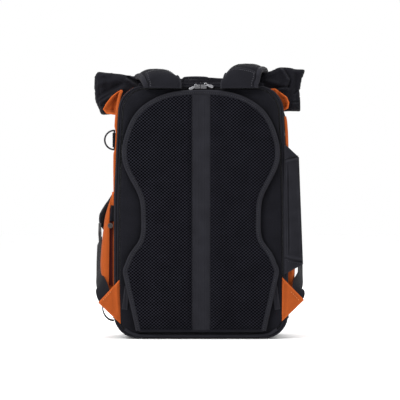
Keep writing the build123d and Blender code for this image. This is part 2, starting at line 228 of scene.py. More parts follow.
def plastic(name, color, rough=0.45):
    made = Nodes(name, color, rough, Specular_IOR_Level=0.3)
    grain = made.noise(False, 1400, 2.0)
    made.tint(made.math("MULTIPLY", made.ramp(made.noise(False, 60), (0.3, 0.7), (0.85, 1.15)),
        made.worn(0.8)))
    made.bump(grain, 0.00004, 0.4)
    made.set(made.shader, "Roughness", made.ramp(made.noise(False, 200), (0.3, 0.7),
        (rough - 0.08, rough + 0.1)))
    return made.material


def metal(name, color, rough=0.25):
    made = Nodes(name, color, rough, Metallic=1.0)
    made.set(made.shader, "Roughness", made.ramp(made.noise(False, 700), (0.3, 0.7),
        (rough - 0.07, rough + 0.12)))
    made.tint(made.ramp(made.noise(False, 240), (0.3, 0.7), (0.85, 1.1)))
    made.bump(made.noise(False, 2600, 1.0), 0.00002, 0.3)
    return made.material


def solar_cell(name):
    """Blue-black silicon with fine silver fingers and two busbars on each cell."""
    made = Nodes(name, (0.006, 0.010, 0.030), 0.3, Specular_IOR_Level=0.3)
    x, _, z = made.axes(False)
    fingers = made.math("GREATER_THAN", made.wave(z, 1.9 * MM), 0.93)
    bars = made.math("GREATER_THAN", made.wave(made.math("ADD", x, -34.25 * MM), 34.25 * MM), 0.982)
    crystal = made.ramp(made.noise(False, 22), (0.3, 0.7), (0.0, 0.5))
    made.set(made.shader, "Roughness", made.ramp(made.noise(False, 40), (0.3, 0.7), (0.28, 0.34)))
    lines = made.math("MAXIMUM", made.math("MULTIPLY", fingers, 0.07), bars)
    blend = made.tree.nodes.new("ShaderNodeMix")
    blend.data_type = "RGBA"
    made.set(blend, 0, lines)
    blend.inputs[7].default_value = (0.45, 0.47, 0.5, 1)
    hue = made.tree.nodes.new("ShaderNodeMix")
    hue.data_type = "RGBA"
    made.set(hue, 0, crystal)
    hue.inputs[6].default_value = (0.006, 0.010, 0.030, 1)
    hue.inputs[7].default_value = (0.012, 0.022, 0.075, 1)
    made.set(blend, 6, hue.outputs[2])
    made.set(made.shader, "Base Color", blend.outputs[2])
    return made.material


def clear_cover(name):
    """A thin clear film, dimpled a little."""
    made = Nodes(name, (0.02, 0.022, 0.03), 0.2, Alpha=0.12, IOR=1.45, Specular_IOR_Level=0.3)
    x, _, z = made.axes(False)
    dimples = made.math("MULTIPLY", made.wave(x, 1.4 * MM), made.wave(z, 1.4 * MM))
    made.bump(dimples, 0.000004, 0.05)
    made.set(made.shader, "Roughness", made.ramp(made.noise(False, 30), (0.3, 0.7), (0.18, 0.24)))
    return made.material


MESH_X, MESH_Z = 6.2 * MM, 5.3 * MM  # pitch of the air mesh's holes
BLACK = (0.0060, 0.0060, 0.0084)
ORANGE = (0.275, 0.056, 0.011)


def make_materials():
    looks = {}

    def add(kind, name, *settings, **named):
        looks[name] = kind(name, *settings, **named)

    add(woven, "black_fabric", BLACK, "twill", 0.8 * MM)
    add(woven, "soft_black", (0.0084, 0.0084, 0.0112), "twill", 0.8 * MM, vary=0.12)
    add(woven, "handle_fabric", (0.0108, 0.0108, 0.0138), "plain", 0.8 * MM, vary=0.2)
    add(woven, "black_shell", BLACK, "plain", 0.7 * MM, sheen=0.03)
    add(woven, "orange_fabric", ORANGE, "plain", 0.7 * MM, sheen=0.02, vary=0.07)
    # Painted shade: a near-black orange for the shadowed inside of the left pocket's rear fold.
    add(woven, "orange_shade", (0.030, 0.004, 0.003), "plain", 0.7 * MM, sheen=0.02)
    add(air_mesh, "air_mesh", (0.0062, 0.0062, 0.0086))
    add(woven, "ribbed_webbing", (0.0140, 0.0140, 0.0178), "rib", 1.3 * MM, 0.0002, sheen=0.04)
    add(woven, "binding", (0.0108, 0.0108, 0.0140), "rib", 1.1 * MM, 0.00015, sheen=0.05)
    add(woven, "strap_knit", (0.0054, 0.0054, 0.0075), "knit", 2.6 * MM, 0.0006, sheen=0.03)
    add(woven, "webbing", (0.0085, 0.0085, 0.0108), "knit", 1.5 * MM, 0.0002, sheen=0.04)
    add(woven, "patch_thread", (0.085, 0.085, 0.095), "twill", 0.3 * MM, sheen=0.05)
    add(woven, "thread", (0.040, 0.040, 0.046), "twill", 0.3 * MM, sheen=0.05)
    add(woven, "orange_thread", (0.55, 0.20, 0.075), "twill", 0.3 * MM, sheen=0.03)
    add(woven, "zip_tape", (0.006, 0.006, 0.007), "rib", 0.8 * MM, uv=False, sheen=0.1)
    add(plastic, "zip_coil", (0.010, 0.010, 0.011), 0.35)
    add(metal, "slider_metal", (0.16, 0.16, 0.17), 0.3)
    add(metal, "zip_metal", (0.26, 0.26, 0.275), 0.28)
    add(metal, "dark_metal", (0.035, 0.035, 0.038), 0.35)
    add(plastic, "black_plastic", (0.012, 0.012, 0.013), 0.4)
    add(plastic, "grey_plastic", (0.040, 0.030, 0.028), 0.45)
    add(plastic, "frame_plastic", (0.04, 0.04, 0.042), 0.5)
    add(metal, "stay_aluminium", (0.72, 0.72, 0.74), 0.32)
    add(woven, "lining", (0.060, 0.061, 0.067), "plain", 0.8 * MM, uv=False, sheen=0.03, vary=0.07)
    add(plastic, "backsheet", (0.014, 0.014, 0.016), 0.5)
    add(solar_cell, "silicon")
    add(clear_cover, "clear_film")
    add(metal, "eyelet_metal", (0.42, 0.42, 0.44), 0.3)
    add(plastic, "circuit", (0.012, 0.12, 0.04), 0.4)
    add(metal, "socket_steel", (0.6, 0.6, 0.62), 0.3)
    add(plastic, "rubber_cover", (0.012, 0.012, 0.012), 0.75)
    return looks


# ---------------------------------------------------------------- mesh tools
def link(obj):
    bpy.context.scene.collection.objects.link(obj)
    return obj


def finish_piece(obj, material, body, nodes=()):
    obj.data.materials.clear()
    obj.data.materials.append(materials[material])
    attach(obj, body)
    if nodes:
        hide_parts(*([nodes] if isinstance(nodes, str) else nodes))
    return obj


def lengths(points, axis):
    """Running length along one direction of a grid of points, averaged over the other."""
    steps = np.linalg.norm(np.diff(points, axis=axis), axis=2).mean(axis=1 - axis)
    return np.concatenate([[0], np.cumsum(steps)])


def grid(name, points, wrap=False, caps=False):
    """A smooth mesh over a grid of points, wrapped across its second direction, with UVs in metres."""
    points = np.asarray(points, float)
    rows, columns = points.shape[:2]
    across = np.concatenate([points, points[:, :1]], axis=1) if wrap else points
    u, v = lengths(across, 0), lengths(across, 1)
    faces, uvs = [], []
    for i in range(rows - 1):
        for j in range(columns if wrap else columns - 1):
            k = (j + 1) % columns
            faces.append((i * columns + j, i * columns + k, (i + 1) * columns + k, (i + 1) * columns + j))
            uvs += [(u[i], v[j]), (u[i], v[j + 1]), (u[i + 1], v[j + 1]), (u[i + 1], v[j])]
    if caps:
        for i in (0, rows - 1):
            faces.append([i * columns + j for j in range(columns)])
            uvs += [(u[i], v[j]) for j in range(columns)]
    mesh = bpy.data.meshes.new(name)
    mesh.from_pydata(points.reshape(-1, 3).tolist(), [], faces)
    layer = mesh.uv_layers.new(name="UVMap")
    layer.data.foreach_set("uv", np.array(uvs, np.float32).ravel())
    mesh.polygons.foreach_set("use_smooth", [True] * len(mesh.polygons))
    obj = link(bpy.data.objects.new(name, mesh))
    if wrap or caps:
        tidy_normals(obj)
    return obj


def tidy_normals(obj):
    made = bmesh.new()
    made.from_mesh(obj.data)
    bmesh.ops.recalc_face_normals(made, faces=made.faces)
    made.to_mesh(obj.data)
    made.free()


def apply_modifiers(obj):
    graph = bpy.context.evaluated_depsgraph_get()
    mesh = bpy.data.meshes.new_from_object(obj.evaluated_get(graph))
    obj.modifiers.clear()
    obj.data = mesh
    mesh.polygons.foreach_set("use_smooth", [True] * len(mesh.polygons))
    return obj


def modify(obj, kind, **settings):
    modifier = obj.modifiers.new(kind.lower(), kind)
    for key, value in settings.items():
        setattr(modifier, key, value)
    return apply_modifiers(obj)


def smooth_path(points, count):
    """A Catmull-Rom curve through the points, in evenly spaced steps."""
    p = np.asarray(points, float)
    p = np.concatenate([[2 * p[0] - p[1]], p, [2 * p[-1] - p[-2]]])
    out = []
    for a, b, c, d in zip(p, p[1:], p[2:], p[3:]):
        t = np.linspace(0, 1, 24, endpoint=False)[:, None]
        square, cube = 2 * a - 5 * b + 4 * c - d, 3 * b - a - 3 * c + d
        out.append(0.5 * (2 * b + (c - a) * t + square * t**2 + cube * t**3))
    return resample(np.concatenate([*out, p[-2:-1]]), count)


def resample(points, count, closed=False):
    points = np.asarray(points, float)
    if closed:
        points = np.concatenate([points, points[:1]])
    run = np.concatenate([[0], np.cumsum(np.linalg.norm(np.diff(points, axis=0), axis=1))])
    at = np.linspace(0, run[-1], count + 1)[:-1] if closed else np.linspace(0, run[-1], count)
    return np.stack([np.interp(at, run, points[:, k]) for k in range(points.shape[1])], axis=1)


def unit(vectors):
    return vectors / np.maximum(np.linalg.norm(vectors, axis=-1, keepdims=True), 1e-12)


def sweep(name, path, profile, across=None, out=None, scale=None, closed=False):
    """A closed profile of (side, out) pairs along a path, held by its side direction or its out direction."""
    path = np.asarray(path, float)
    along = unit(np.roll(path, -1, 0) - np.roll(path, 1, 0)) if closed else unit(np.gradient(path, axis=0))
    if out is not None:
        across = np.cross(np.broadcast_to(np.asarray(out, float), path.shape), along)
    across = np.asarray(across, float)
    side = unit(across - along * (across * along).sum(1, keepdims=True))
    outward = np.cross(along, side)
    profile = np.asarray(profile, float)[None]
    if scale is not None:
        profile = profile * np.asarray(scale, float)[:, None, :]
    points = path[:, None] + profile[..., :1] * side[:, None] + profile[..., 1:] * outward[:, None]
    if closed:
        points = np.concatenate([points, points[:1]])
    return grid(name, points, wrap=True, caps=not closed)


def rounded(width, thick, count=28, power=3.0):
    """A superellipse profile: flat in the middle with round edges."""
    t = np.linspace(0, 2 * math.pi, count, endpoint=False)
    c, s = np.cos(t), np.sin(t)
    x = np.sign(c) * np.abs(c) ** (2 / power) * width / 2
    y = np.sign(s) * np.abs(s) ** (2 / power) * thick / 2
    return np.stack([x, y], axis=1)


def inward(points, amount):
    """A closed outline moved inwards by an amount, for each point or for all."""
    tangent = unit(np.roll(points, -1, 0) - np.roll(points, 1, 0))
    normal = np.stack([-tangent[:, 1], tangent[:, 0]], axis=1)
    if ((points.mean(0) - points) * normal).sum() < 0:
        normal = -normal
    return points + normal * np.reshape(amount, (-1, 1) if np.ndim(amount) else ())


def lift(points, y):
    """Points in X and Z, put at depth y."""
    return np.stack([points[:, 0], np.broadcast_to(y, len(points)), points[:, 1]], axis=1)


def ripple(points, size, height, seed=0):
    """Smooth random height over points, from a few crossed waves."""
    local = np.random.default_rng(seed)
    total = np.zeros(points.shape[:-1])
    for _ in range(7):
        direction = unit(local.normal(size=3))
        wave = size * local.uniform(0.6, 1.8)
        total += np.sin(points @ direction * 2 * math.pi / wave + local.uniform(0, 6.3))
    return total / 7 * height


def stitches(name, path, out, body, material="thread", pitch=3.2 * MM, long=2.2 * MM, radius=0.33 * MM):
    """A row of short raised stitches along a path, each on the side of out."""
    path = np.asarray(path, float)
    run = np.linalg.norm(np.diff(path, axis=0), axis=1).sum()
    centres = resample(path, max(int(run / pitch), 2))
    along = unit(np.gradient(centres, axis=0))
    out = np.broadcast_to(np.asarray(out, float), path.shape)
    at = np.linspace(0, len(path) - 1, len(centres))
    out = unit(np.stack([np.interp(at, np.arange(len(path)), out[:, k]) for k in range(3)], axis=1))
    side = unit(np.cross(along, out))
    ring = np.linspace(0, 2 * math.pi, 6, endpoint=False)
    points, faces = [], []
    for c, a, o, s in zip(centres, along, out, side):
        base = len(points)
        for t, r, h in ((-0.5, 0.25, 0.0), (-0.3, 1.0, 0.8), (0.3, 1.0, 0.8), (0.5, 0.25, 0.0)):
            for angle in ring:
                offset = s * math.cos(angle) * r + o * (math.sin(angle) * r + h)
                points.append(c + a * t * long + offset * radius)
        for k in range(3):
            for j in range(6):
                q = base + 6 * k
                faces.append((q + j, q + (j + 1) % 6, q + 6 + (j + 1) % 6, q + 6 + j))
        faces.append([base + j for j in range(6)])
        faces.append([base + 18 + j for j in reversed(range(6))])
    mesh = bpy.data.meshes.new(name)
    mesh.from_pydata([tuple(p) for p in points], [], faces)
    mesh.uv_layers.new(name="UVMap")
    mesh.polygons.foreach_set("use_smooth", [True] * len(mesh.polygons))
    return finish_piece(link(bpy.data.objects.new(name, mesh)), material, body)


CLOTH_FRAMES = 20


def puff(obj, pressure, cap, pin):
    """Swells a closed piece as cloth under pressure, pinned where pin says, with each move capped."""
    start = np.array([v.co for v in obj.data.vertices])
    group = obj.vertex_groups.new(name="pin")
    for index in np.nonzero(pin(start))[0]:
        group.add([int(index)], 1.0, "REPLACE")
    cloth = obj.modifiers.new("cloth", "CLOTH")
    settings = cloth.settings
    settings.quality = 4
    settings.mass = 0.3
    settings.tension_stiffness = settings.compression_stiffness = 15.0
    settings.shear_stiffness = 5.0
    settings.bending_stiffness = 0.4
    settings.shrink_min = -0.02
    settings.use_pressure = True
    settings.uniform_pressure_force = pressure
    settings.effector_weights.gravity = 0
    settings.vertex_group_mass = "pin"
    cloth.collision_settings.use_collision = False
    cloth.point_cache.frame_start, cloth.point_cache.frame_end = 1, CLOTH_FRAMES
    for number in range(1, CLOTH_FRAMES + 1):
        bpy.context.scene.frame_set(number)
    apply_modifiers(obj)
    bpy.context.scene.frame_set(1)
    end = np.array([v.co for v in obj.data.vertices])
    move = end - start
    size = np.linalg.norm(move, axis=1, keepdims=True)
    end = start + move * np.minimum(1, cap / np.maximum(size, 1e-9))
    obj.data.vertices.foreach_set("co", end.ravel())
    return modify(obj, "SMOOTH", factor=0.5, iterations=2)


def box_uvs(obj):
    """UVs in metres from the way each face looks, for pieces whose mesh was remade."""
    mesh = obj.data
    layer = mesh.uv_layers.new(name="UVMap") if not mesh.uv_layers else mesh.uv_layers[0]
    co = np.array([v.co for v in mesh.vertices])
    for face in mesh.polygons:
        axis = int(np.argmax(np.abs(face.normal)))
        pick = [(1, 2), (0, 2), (0, 1)][axis]
        for corner in face.loop_indices:
            point = co[mesh.loops[corner].vertex_index]
            layer.data[corner].uv = (point[pick[0]], point[pick[1]])
    return obj


def copy_node(node, name):
    """A copy of a CAD node's mesh, free to be reshaped."""
    return link(bpy.data.objects.new(name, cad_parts[node].data.copy()))


def soften(node, material, body, voxel, wobble, size, seed, iterations):
    """A sewn shell from a CAD solid: rounded edges and the slow unevenness of cloth over foam."""
    obj = copy_node(node, node + "_cloth")
    modify(obj, "REMESH", mode="VOXEL", voxel_size=voxel * 1, use_smooth_shade=True)
    modify(obj, "SMOOTH", factor=0.5, iterations=iterations)
    co = np.array([v.co for v in obj.data.vertices])
    normal = np.array([v.normal for v in obj.data.vertices])
    co = co + normal * ripple(co, size, wobble, seed)[:, None]
    obj.data.vertices.foreach_set("co", co.ravel())
    box_uvs(obj)
    return finish_piece(obj, material, body, node)


def mm(*rows):
    return np.array(rows, float) * MM


# ---------------------------------------------------------------- outlines and padded plates
def face_outlines(node, y):
    """The closed outlines in X and Z of a node's flat face at depth y, longest first, anticlockwise."""
    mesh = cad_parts[node].data
    co = np.array([v.co for v in mesh.vertices])
    flat = np.abs(co[:, 1] - y) < 0.2 * MM
    mesh.calc_loop_triangles()
    ids, directed = {}, set()
    for triangle in mesh.loop_triangles:
        if flat[list(triangle.vertices)].all():
            corners = [ids.setdefault(tuple(np.round(co[i][[0, 2]], 5)), len(ids)) for i in triangle.vertices]
            directed.update(zip(corners, corners[1:] + corners[:1]))
    onward = {a: b for a, b in directed if (b, a) not in directed}
    places, loops = list(ids), []
    while onward:
        start, at = next(iter(onward.items()))
        loop = [start]
        del onward[start]
        while at != start and at in onward:
            loop.append(at)
            at = onward.pop(at)
        points = np.array([places[i] for i in loop])
        x, z = points.T
        if (x * np.roll(z, -1) - z * np.roll(x, -1)).sum() < 0:
            points = points[::-1]
        loops.append(points)
    return sorted(loops, key=lambda p: -np.ptp(p[:, 0]) * np.ptp(p[:, 1]))


def evened(loop, count, passes=2):
    """A closed outline in even steps from the middle of its foot, with its facets smoothed out."""
    loop = resample(loop, count, closed=True)
    for _ in range(passes):
        loop = (np.roll(loop, 1, 0) + 2 * loop + np.roll(loop, -1, 0)) / 4
    start = np.argmin(np.abs(loop[:, 0] - loop[:, 0].mean()) + (loop[:, 1] > loop[:, 1].mean()) * 1.0)
    return np.roll(loop, -start, 0)


def to_edge(points, loop):
    """Each point's distance to a closed outline, positive inside it, and the nearest point on it."""
    a, ab = loop, np.roll(loop, -1, 0) - loop
    long = np.maximum((ab * ab).sum(1), 1e-12)
    distance, near = np.empty(len(points)), np.empty((len(points), 2))
    for s in range(0, len(points), 4096):
        p = points[s:s + 4096, None]
        t = np.clip(((p - a) * ab).sum(2) / long, 0, 1)
        q = a + ab * t[..., None]
        gap = np.linalg.norm(p - q, axis=2)
        k = gap.argmin(1)
        row = np.arange(len(k))
        rise = np.where(np.abs(ab[:, 1]) < 1e-12, 1e-12, ab[:, 1])
        spans = (a[:, 1] > p[..., 1]) != (a[:, 1] + ab[:, 1] > p[..., 1])
        crossed = spans & (p[..., 0] < a[:, 0] + ab[:, 0] * (p[..., 1] - a[:, 1]) / rise)
        sign = np.where(crossed.sum(1) % 2 == 1, 1, -1)
        distance[s:s + 4096] = gap[row, k] * sign
        near[s:s + 4096] = q[row, k]
    return distance, near


def slab(name, loop, cell, front, back):
    """A closed plate in an outline; front and back are functions of x, z and the distance to the edge."""
    cell = cell * 1
    low, high = loop.min(0), loop.max(0)
    nx, nz = np.ceil((high - low) / cell).astype(int)
    xs = low[0] + (np.arange(nx + 2) - 0.5) * (high[0] - low[0]) / nx
    zs = low[1] + (np.arange(nz + 2) - 0.5) * (high[1] - low[1]) / nz
    flat = np.stack(np.meshgrid(xs, zs, indexing="ij"), axis=2)
    centres = (flat[:-1, :-1] + flat[1:, 1:]) / 2
    inside = (to_edge(centres.reshape(-1, 2), loop)[0] > 0).reshape(centres.shape[:2])
    number = np.arange(flat.shape[0] * flat.shape[1]).reshape(flat.shape[:2])
    i, j = np.nonzero(inside)
    quads = np.stack([number[i, j], number[i + 1, j], number[i + 1, j + 1], number[i, j + 1]], axis=1)
    used, quads = np.unique(quads, return_inverse=True)
    quads = quads.reshape(-1, 4)
    points = flat.reshape(-1, 2)[used]
    edges = np.concatenate([quads[:, [k, (k + 1) % 4]] for k in range(4)])
    present = set(map(tuple, edges.tolist()))
    rim = [(a, b) for a, b in present if (b, a) not in present]
    border = np.unique(np.array(rim))
    points[border] = to_edge(points[border], loop)[1]
    distance = np.maximum(to_edge(points, loop)[0], 0)
    distance[border] = 0
    x, z = points.T
    fore, aft = front(x, z, distance) + 0 * x, back(x, z, distance) + 0 * x
    count = len(points)
    verts = np.concatenate([np.stack([x, fore, z], 1), np.stack([x, aft, z], 1)])
    faces = [*quads.tolist(), *(quads[:, ::-1] + count).tolist()]
    faces += [(b, a, a + count, b + count) for a, b in rim]
    mesh = bpy.data.meshes.new(name)
    mesh.from_pydata(verts.tolist(), [], faces)
    layer = mesh.uv_layers.new(name="UVMap")
    corner = np.array([c for face in faces for c in face])
    layer.data.foreach_set("uv", verts[corner][:, [0, 2]].astype(np.float32).ravel())
    mesh.polygons.foreach_set("use_smooth", [True] * len(mesh.polygons))
    obj = link(bpy.data.objects.new(name, mesh))
    tidy_normals(obj)
    return obj


def ring(name, section):
    """A closed band round the pack, from a closed section: outlines of equal count, each with its depth."""
    rows = np.stack([lift(loop, y) for loop, y in section], axis=1)
    return grid(name, np.concatenate([rows, rows[:1]]), wrap=True)


def step(value, low, high):
    t = np.clip((value - low) / (high - low), 0, 1)
    return t * t * (3 - 2 * t)


def from_line(x, z, a, b):
    """Distance from the line through a and b, signed, and the place along it from 0 to 1."""
    a, b = np.array(a) * MM, np.array(b) * MM
    along = b - a
    size = np.linalg.norm(along)
    along = along / size
    dx, dz = x - a[0], z - a[1]
    return dx * along[1] - dz * along[0], (dx * along[0] + dz * along[1]) / size


def crease(x, z, a, b, depth, width):
    """How far a fold from a to b sinks a cloth at x and z: a sharp valley on one side of a soft ridge."""
    off, t = from_line(x, z, a, b)
    fade = step(t, -0.08, 0.12) * (1 - step(t, 0.82, 1.08))
    width = width * MM
    valley = np.exp(-(off / width) ** 2)
    ridge = np.exp(-((off - 2.0 * width) / (1.5 * width)) ** 2)
    return (valley - 0.7 * ridge) * depth * MM * fade


# ---------------------------------------------------------------- back door
RING = 720  # points round each outline


def door_pieces():
    door = evened(face_outlines("door_panel", -88 * MM)[0], RING)
    outer = evened(face_outlines("pad_binding", -99 * MM)[0], RING)
    middle = inward(outer, 4 * MM)

    gap = np.linalg.norm(door - outer, axis=1)
    swell = 2.4 * MM * step(gap, 4 * MM, 30 * MM)
    under = inward(outer, 5 * MM)
    back = -86.3 * MM
    section = [(door, back), (door, -87.3 * MM), (inward(door, 0.6 * MM), -88.0 * MM)]
    for t in np.linspace(0.06, 0.94, 13):
        rise = math.sin(math.pi * t) ** 0.8
        mix = door * (1 - t) + outer * t
        place = lift(mix, 0.0)
        section.append((mix, -88.2 * MM - swell * rise + ripple(place, 90 * MM, 0.35 * MM, 5) * rise))
    section += [(outer, -88.0 * MM), (under, -88.0 * MM), (under, back)]
    cover = ring("door_cover", section)
    finish_piece(cover, "black_fabric", "back_door", "door_panel")

    profile = mm((-4.3, -5.0), (-4.4, 1.0), (-4.0, 2.2), (-3.0, 3.0), (-1.6, 3.4), (-0.2, 3.2), (0.4, 2.7),
        (1.0, 2.6),
                 (1.8, 3.0), (2.8, 2.8), (3.8, 2.0), (4.3, 0.8), (4.4, -5.0))
    leg = middle[middle[:, 1] > 20 * MM]
    foot = (leg[0] + unit(leg[0] - leg[6]) * 6.5 * MM, leg[-1] + unit(leg[-1] - leg[-7]) * 6.5 * MM)
    leg = resample(np.concatenate([foot[:1], leg, foot[1:]]), RING)
    tape = sweep("pad_edge_binding", lift(leg, -96.0 * MM), profile, out=(0, -1, 0))
    finish_piece(tape, "binding", "back_door", "pad_binding")
    sideways = np.gradient(leg, axis=0)[:, ::-1] * (-1, 1)
    stitches("pad_edge_stitches", lift(leg + unit(sideways) * 0.7 * MM, -98.65 * MM), (0, -1, 0),
        "back_door",
             pitch=3.6 * MM, radius=0.42 * MM)

    for side, sign in SIDES.items():
        loops = face_outlines("back_pad_" + side, -102 * MM)
        loop = resample(loops[0], 900, closed=True)
        loop = inward(loop, -1.2 * MM)
        loop[:, 1] = np.where(loop[:, 1] < 24 * MM, 15 * MM, loop[:, 1])
        channel = sign * 16.8 * MM

        def face(x, z, d, channel=channel):
            to_channel = np.abs(x - channel)
            crown = 3.4 * MM * step(d, 0, 9 * MM) + 2.2 * MM * step(d, 5 * MM, 45 * MM)
            crown = np.where(to_channel < d + 0.4 * MM,
                5.6 * MM * step(to_channel, -0.5 * MM, 8 * MM) ** 0.7, crown)
            holes = np.cos(2 * math.pi * x / MESH_X) * np.cos(2 * math.pi * z / MESH_Z)
            sink = 1.9 * MM * step(holes, -0.3, 0.6) * step(d, 0, 2 * MM)
            return -98.0 * MM - crown * 0.93 + sink

        pad = slab("back_pad_mesh_" + side, loop, 0.95 * MM, face, lambda x, z, d: -88.3 * MM)
        finish_piece(pad, "air_mesh", "back_door", "back_pad_" + side)

    foot = [(x, -96.5 * MM, 14.6 * MM) for x in np.linspace(-106 * MM, 106 * MM, 120)]
    seam = sweep("pad_foot_seam", foot, rounded(3.6 * MM, 4.4 * MM, 20, 2.4), out=(0, -1, 0))
    finish_piece(seam, "black_fabric", "back_door")

    low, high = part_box("channel_strip")
    across = np.linspace(-17.2, 17.2, 130) * MM
    heights = np.linspace(14.5 * MM, high.z, 160)
    edge = np.abs(np.abs(across) - 15.4 * MM)
    crown = 1.0 * MM * np.cos(across / (17.2 * MM) * math.pi / 2) ** 0.5
    rise = crown + 0.22 * MM * np.cos(across * 2 * math.pi / (2.6 * MM))
    rise = rise - 0.5 * MM * np.exp(-(edge / (0.6 * MM)) ** 2)
    rows = []
    for z in heights:
        top = np.stack([across, -96.4 * MM - rise, np.full_like(across, z)], axis=1)
        rows.append(np.concatenate([top, top[::-1] * (1, 0, 1) + (0, -90 * MM, 0)]))
    strip = grid("channel_webbing", np.array(rows), wrap=True, caps=True)
    finish_piece(strip, "ribbed_webbing", "back_door", "channel_strip")
    for sign in (-1, 1):
        path = [(sign * 15.4 * MM, -97.0 * MM, z) for z in np.linspace(low.z + 4 * MM, high.z - 4 * MM, 60)]
        stitches(f"channel_stitches_{'right' if sign > 0 else 'left'}", path, (0, -1, 0), "back_door",
                 pitch=3.4 * MM)

    for sign in (-1, 1):
        loop = mm((-5.2, -20.5), (5.2, -20.5), (5.2, 20.5), (-5.2, 20.5))
        turn = math.radians(8) * sign
        spin = np.array([[math.cos(turn), -math.sin(turn)], [math.sin(turn), math.cos(turn)]])
        loop = resample(loop @ spin.T + np.array([sign * 129 * MM, 71 * MM]), 220, closed=True)
        centre = sign * 129 * MM

        def flap(x, z, d, centre=centre, sign=sign):
            lean = (x - centre) * sign
            top = -90.4 * MM - 1.8 * MM * step(d, 0, 1.6 * MM)
            return top + lean * 0.12 + 0.8 * MM * np.exp(-(lean / (0.9 * MM)) ** 2)

        name = f"belt_slot_flap_{'right' if sign > 0 else 'left'}"
        made = slab(name, loop, 0.8 * MM, flap, lambda x, z, d: -88.2 * MM)
        finish_piece(made, "binding", "back_door")
    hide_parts("belt_slot_flaps")

    loop = evened(face_outlines("door_lining", -79.5 * MM)[0], RING)

    def inner_face(x, z, d):
        welt = 0.9 * MM * np.exp(-((d - 6 * MM) / (2.5 * MM)) ** 2)
        seams = sum(0.8 * MM * np.exp(-((z - level * MM) / (1.5 * MM)) ** 2) for level in (160, 300))
        return -79.9 * MM + welt * 0.4 - seams * step(d, 4 * MM, 8 * MM)

    lining = slab("door_inner_lining", loop, 3.0 * MM, lambda x, z, d: -81.4 * MM, inner_face)
    finish_piece(lining, "lining", "back_door", "door_lining")


RIM_SECTION = (  # from the inner edge (0) to the outer (1), and Y in mm
    (0, -82.2), (0, -86.4), (0.03, -87.3), (0.12, -88.0), (0.26, -88.1), (0.38, -87.4), (0.43, -86.7),
    (0.48, -87.3), (0.56, -88.6), (0.68, -89.3), (0.82, -89.0), (0.93, -87.7), (1.0, -85.6),
    (1.01, -83.6), (0.97, -82.2),
)


def rim_and_zip():
    loops = face_outlines("door_rim", -86 * MM)
    outer, inner = evened(loops[0], RING), evened(loops[1], RING)
    near = to_edge(outer, inner)[1]
    for _ in range(3):
        near = (np.roll(near, 1, 0) + 2 * near + np.roll(near, -1, 0)) / 4
    section = []
    for t, y in RIM_SECTION:
        mix = near * (1 - t) + outer * t
        place = lift(mix, 0.0)
        section.append((mix,
            y * MM + ripple(place, 70 * MM, 0.4 * MM, 11) * (1 if -88.5 < y < -86.8 else 0.5)))
    band = ring("rim_binding", section)
    finish_piece(band, "soft_black", "pack", "door_rim")

    foot = [(-131, 17), (-119, 9.5), (-100, 6.2), (-50, 5.6), (50, 5.6), (100, 6.2), (119, 9.5), (131, 17)]
    path = smooth_path([(x * MM, -89.0 * MM, z * MM) for x, z in foot], 200)
    piping = sweep("base_piping", path, rounded(5.0 * MM, 3.2 * MM, 24, 2.4), out=(0, -1, 0))
    finish_piece(piping, "ribbed_webbing", "pack")

    gutter = evened(face_outlines("door_panel", -88 * MM)[0], RING)
    line = inward(gutter, -1.2 * MM)
    near, far = inward(gutter, -0.25 * MM), inward(gutter, -2.2 * MM)
    section = [(near, -84.9 * MM), (near, -85.5 * MM), (far, -85.5 * MM), (far, -84.9 * MM)]
    tape = ring("zip_tape_band", section)
    finish_piece(tape, "zip_tape", "pack", "door_zip_chain")
    path = line[line[:, 1] > 62 * MM]
    run = np.linalg.norm(np.diff(path, axis=0), axis=1).sum()
    turns = int(run / (1.9 * MM))
    path = resample(path, turns * (8))
    tangent = unit(np.gradient(path, axis=0))
    sideways = np.stack([-tangent[:, 1], tangent[:, 0]], axis=1)
    angle = np.linspace(0, turns * 2 * math.pi, len(path))
    coil = lift(path + sideways * (np.cos(angle) * 0.62 * MM)[:, None], -86.1 * MM - np.sin(angle) * 0.5 * MM)
    coil = sweep("zip_coil", coil, rounded(0.62 * MM, 0.62 * MM, 6, 2.0), out=(0, -1, 0))
    finish_piece(coil, "zip_coil", "pack")


# ---------------------------------------------------------------- straps, handles and webbing
STRAP_WIDTHS = (64, 64, 64, 64, 64, 64, 64, 64, 64, 62, 60, 56, 52, 47, 41, 34)
STRAP_THICKS = (11,) * 13 + (9, 7, 5)


def strap_line(sign, crest, reach):
    points = [(66, -98.6, 432.4), (66, -98.4, 446), (69, -92, crest - 7), (74, -74, crest - 0.8),
        (79, -46, crest),
              (83, -12, crest - 1.5), (88, 22, crest - 16), (95, 54, 424), (106, 77, 392), (117, 84, 358),
              (120, 86, 320), (123, 87, 280), (131, 87, 250), (146, 84, 229), (163, 71, 211), (reach - 4.5,
                  43, 193)]
    across = [(1, 0, 0)] * 8 + [(1, 0, 0.15)] * 4 + [(1, 0, 0.6), (0.8, -0.3, 1), (0.5, -0.3, 1),
        (0.1, 0.4, 1)]
    flip = np.array([sign, 1, 1])
    return mm(*points) * flip, np.array(across, float) * flip


def frames_along(points, across, count, *values):
    """A path through points with its across, out and other values carried along evenly."""
    path = smooth_path(points, count)
    raw = smooth_path(points, 2000)
    run = np.concatenate([[0], np.cumsum(np.linalg.norm(np.diff(raw, axis=0), axis=1))])
    knots = [run[np.argmin(np.linalg.norm(raw - p, axis=1))] for p in points]
    knots[0], knots[-1] = 0, run[-1]
    at = np.linspace(0, run[-1], count)
    across = np.stack([np.interp(at, knots, np.asarray(across, float)[:, k]) for k in range(3)], 1)
    along = unit(np.gradient(path, axis=0))
    side = unit(across - along * (across * along).sum(1, keepdims=True))
    return path, side, np.cross(along, side), [np.interp(at, knots, v) for v in values]


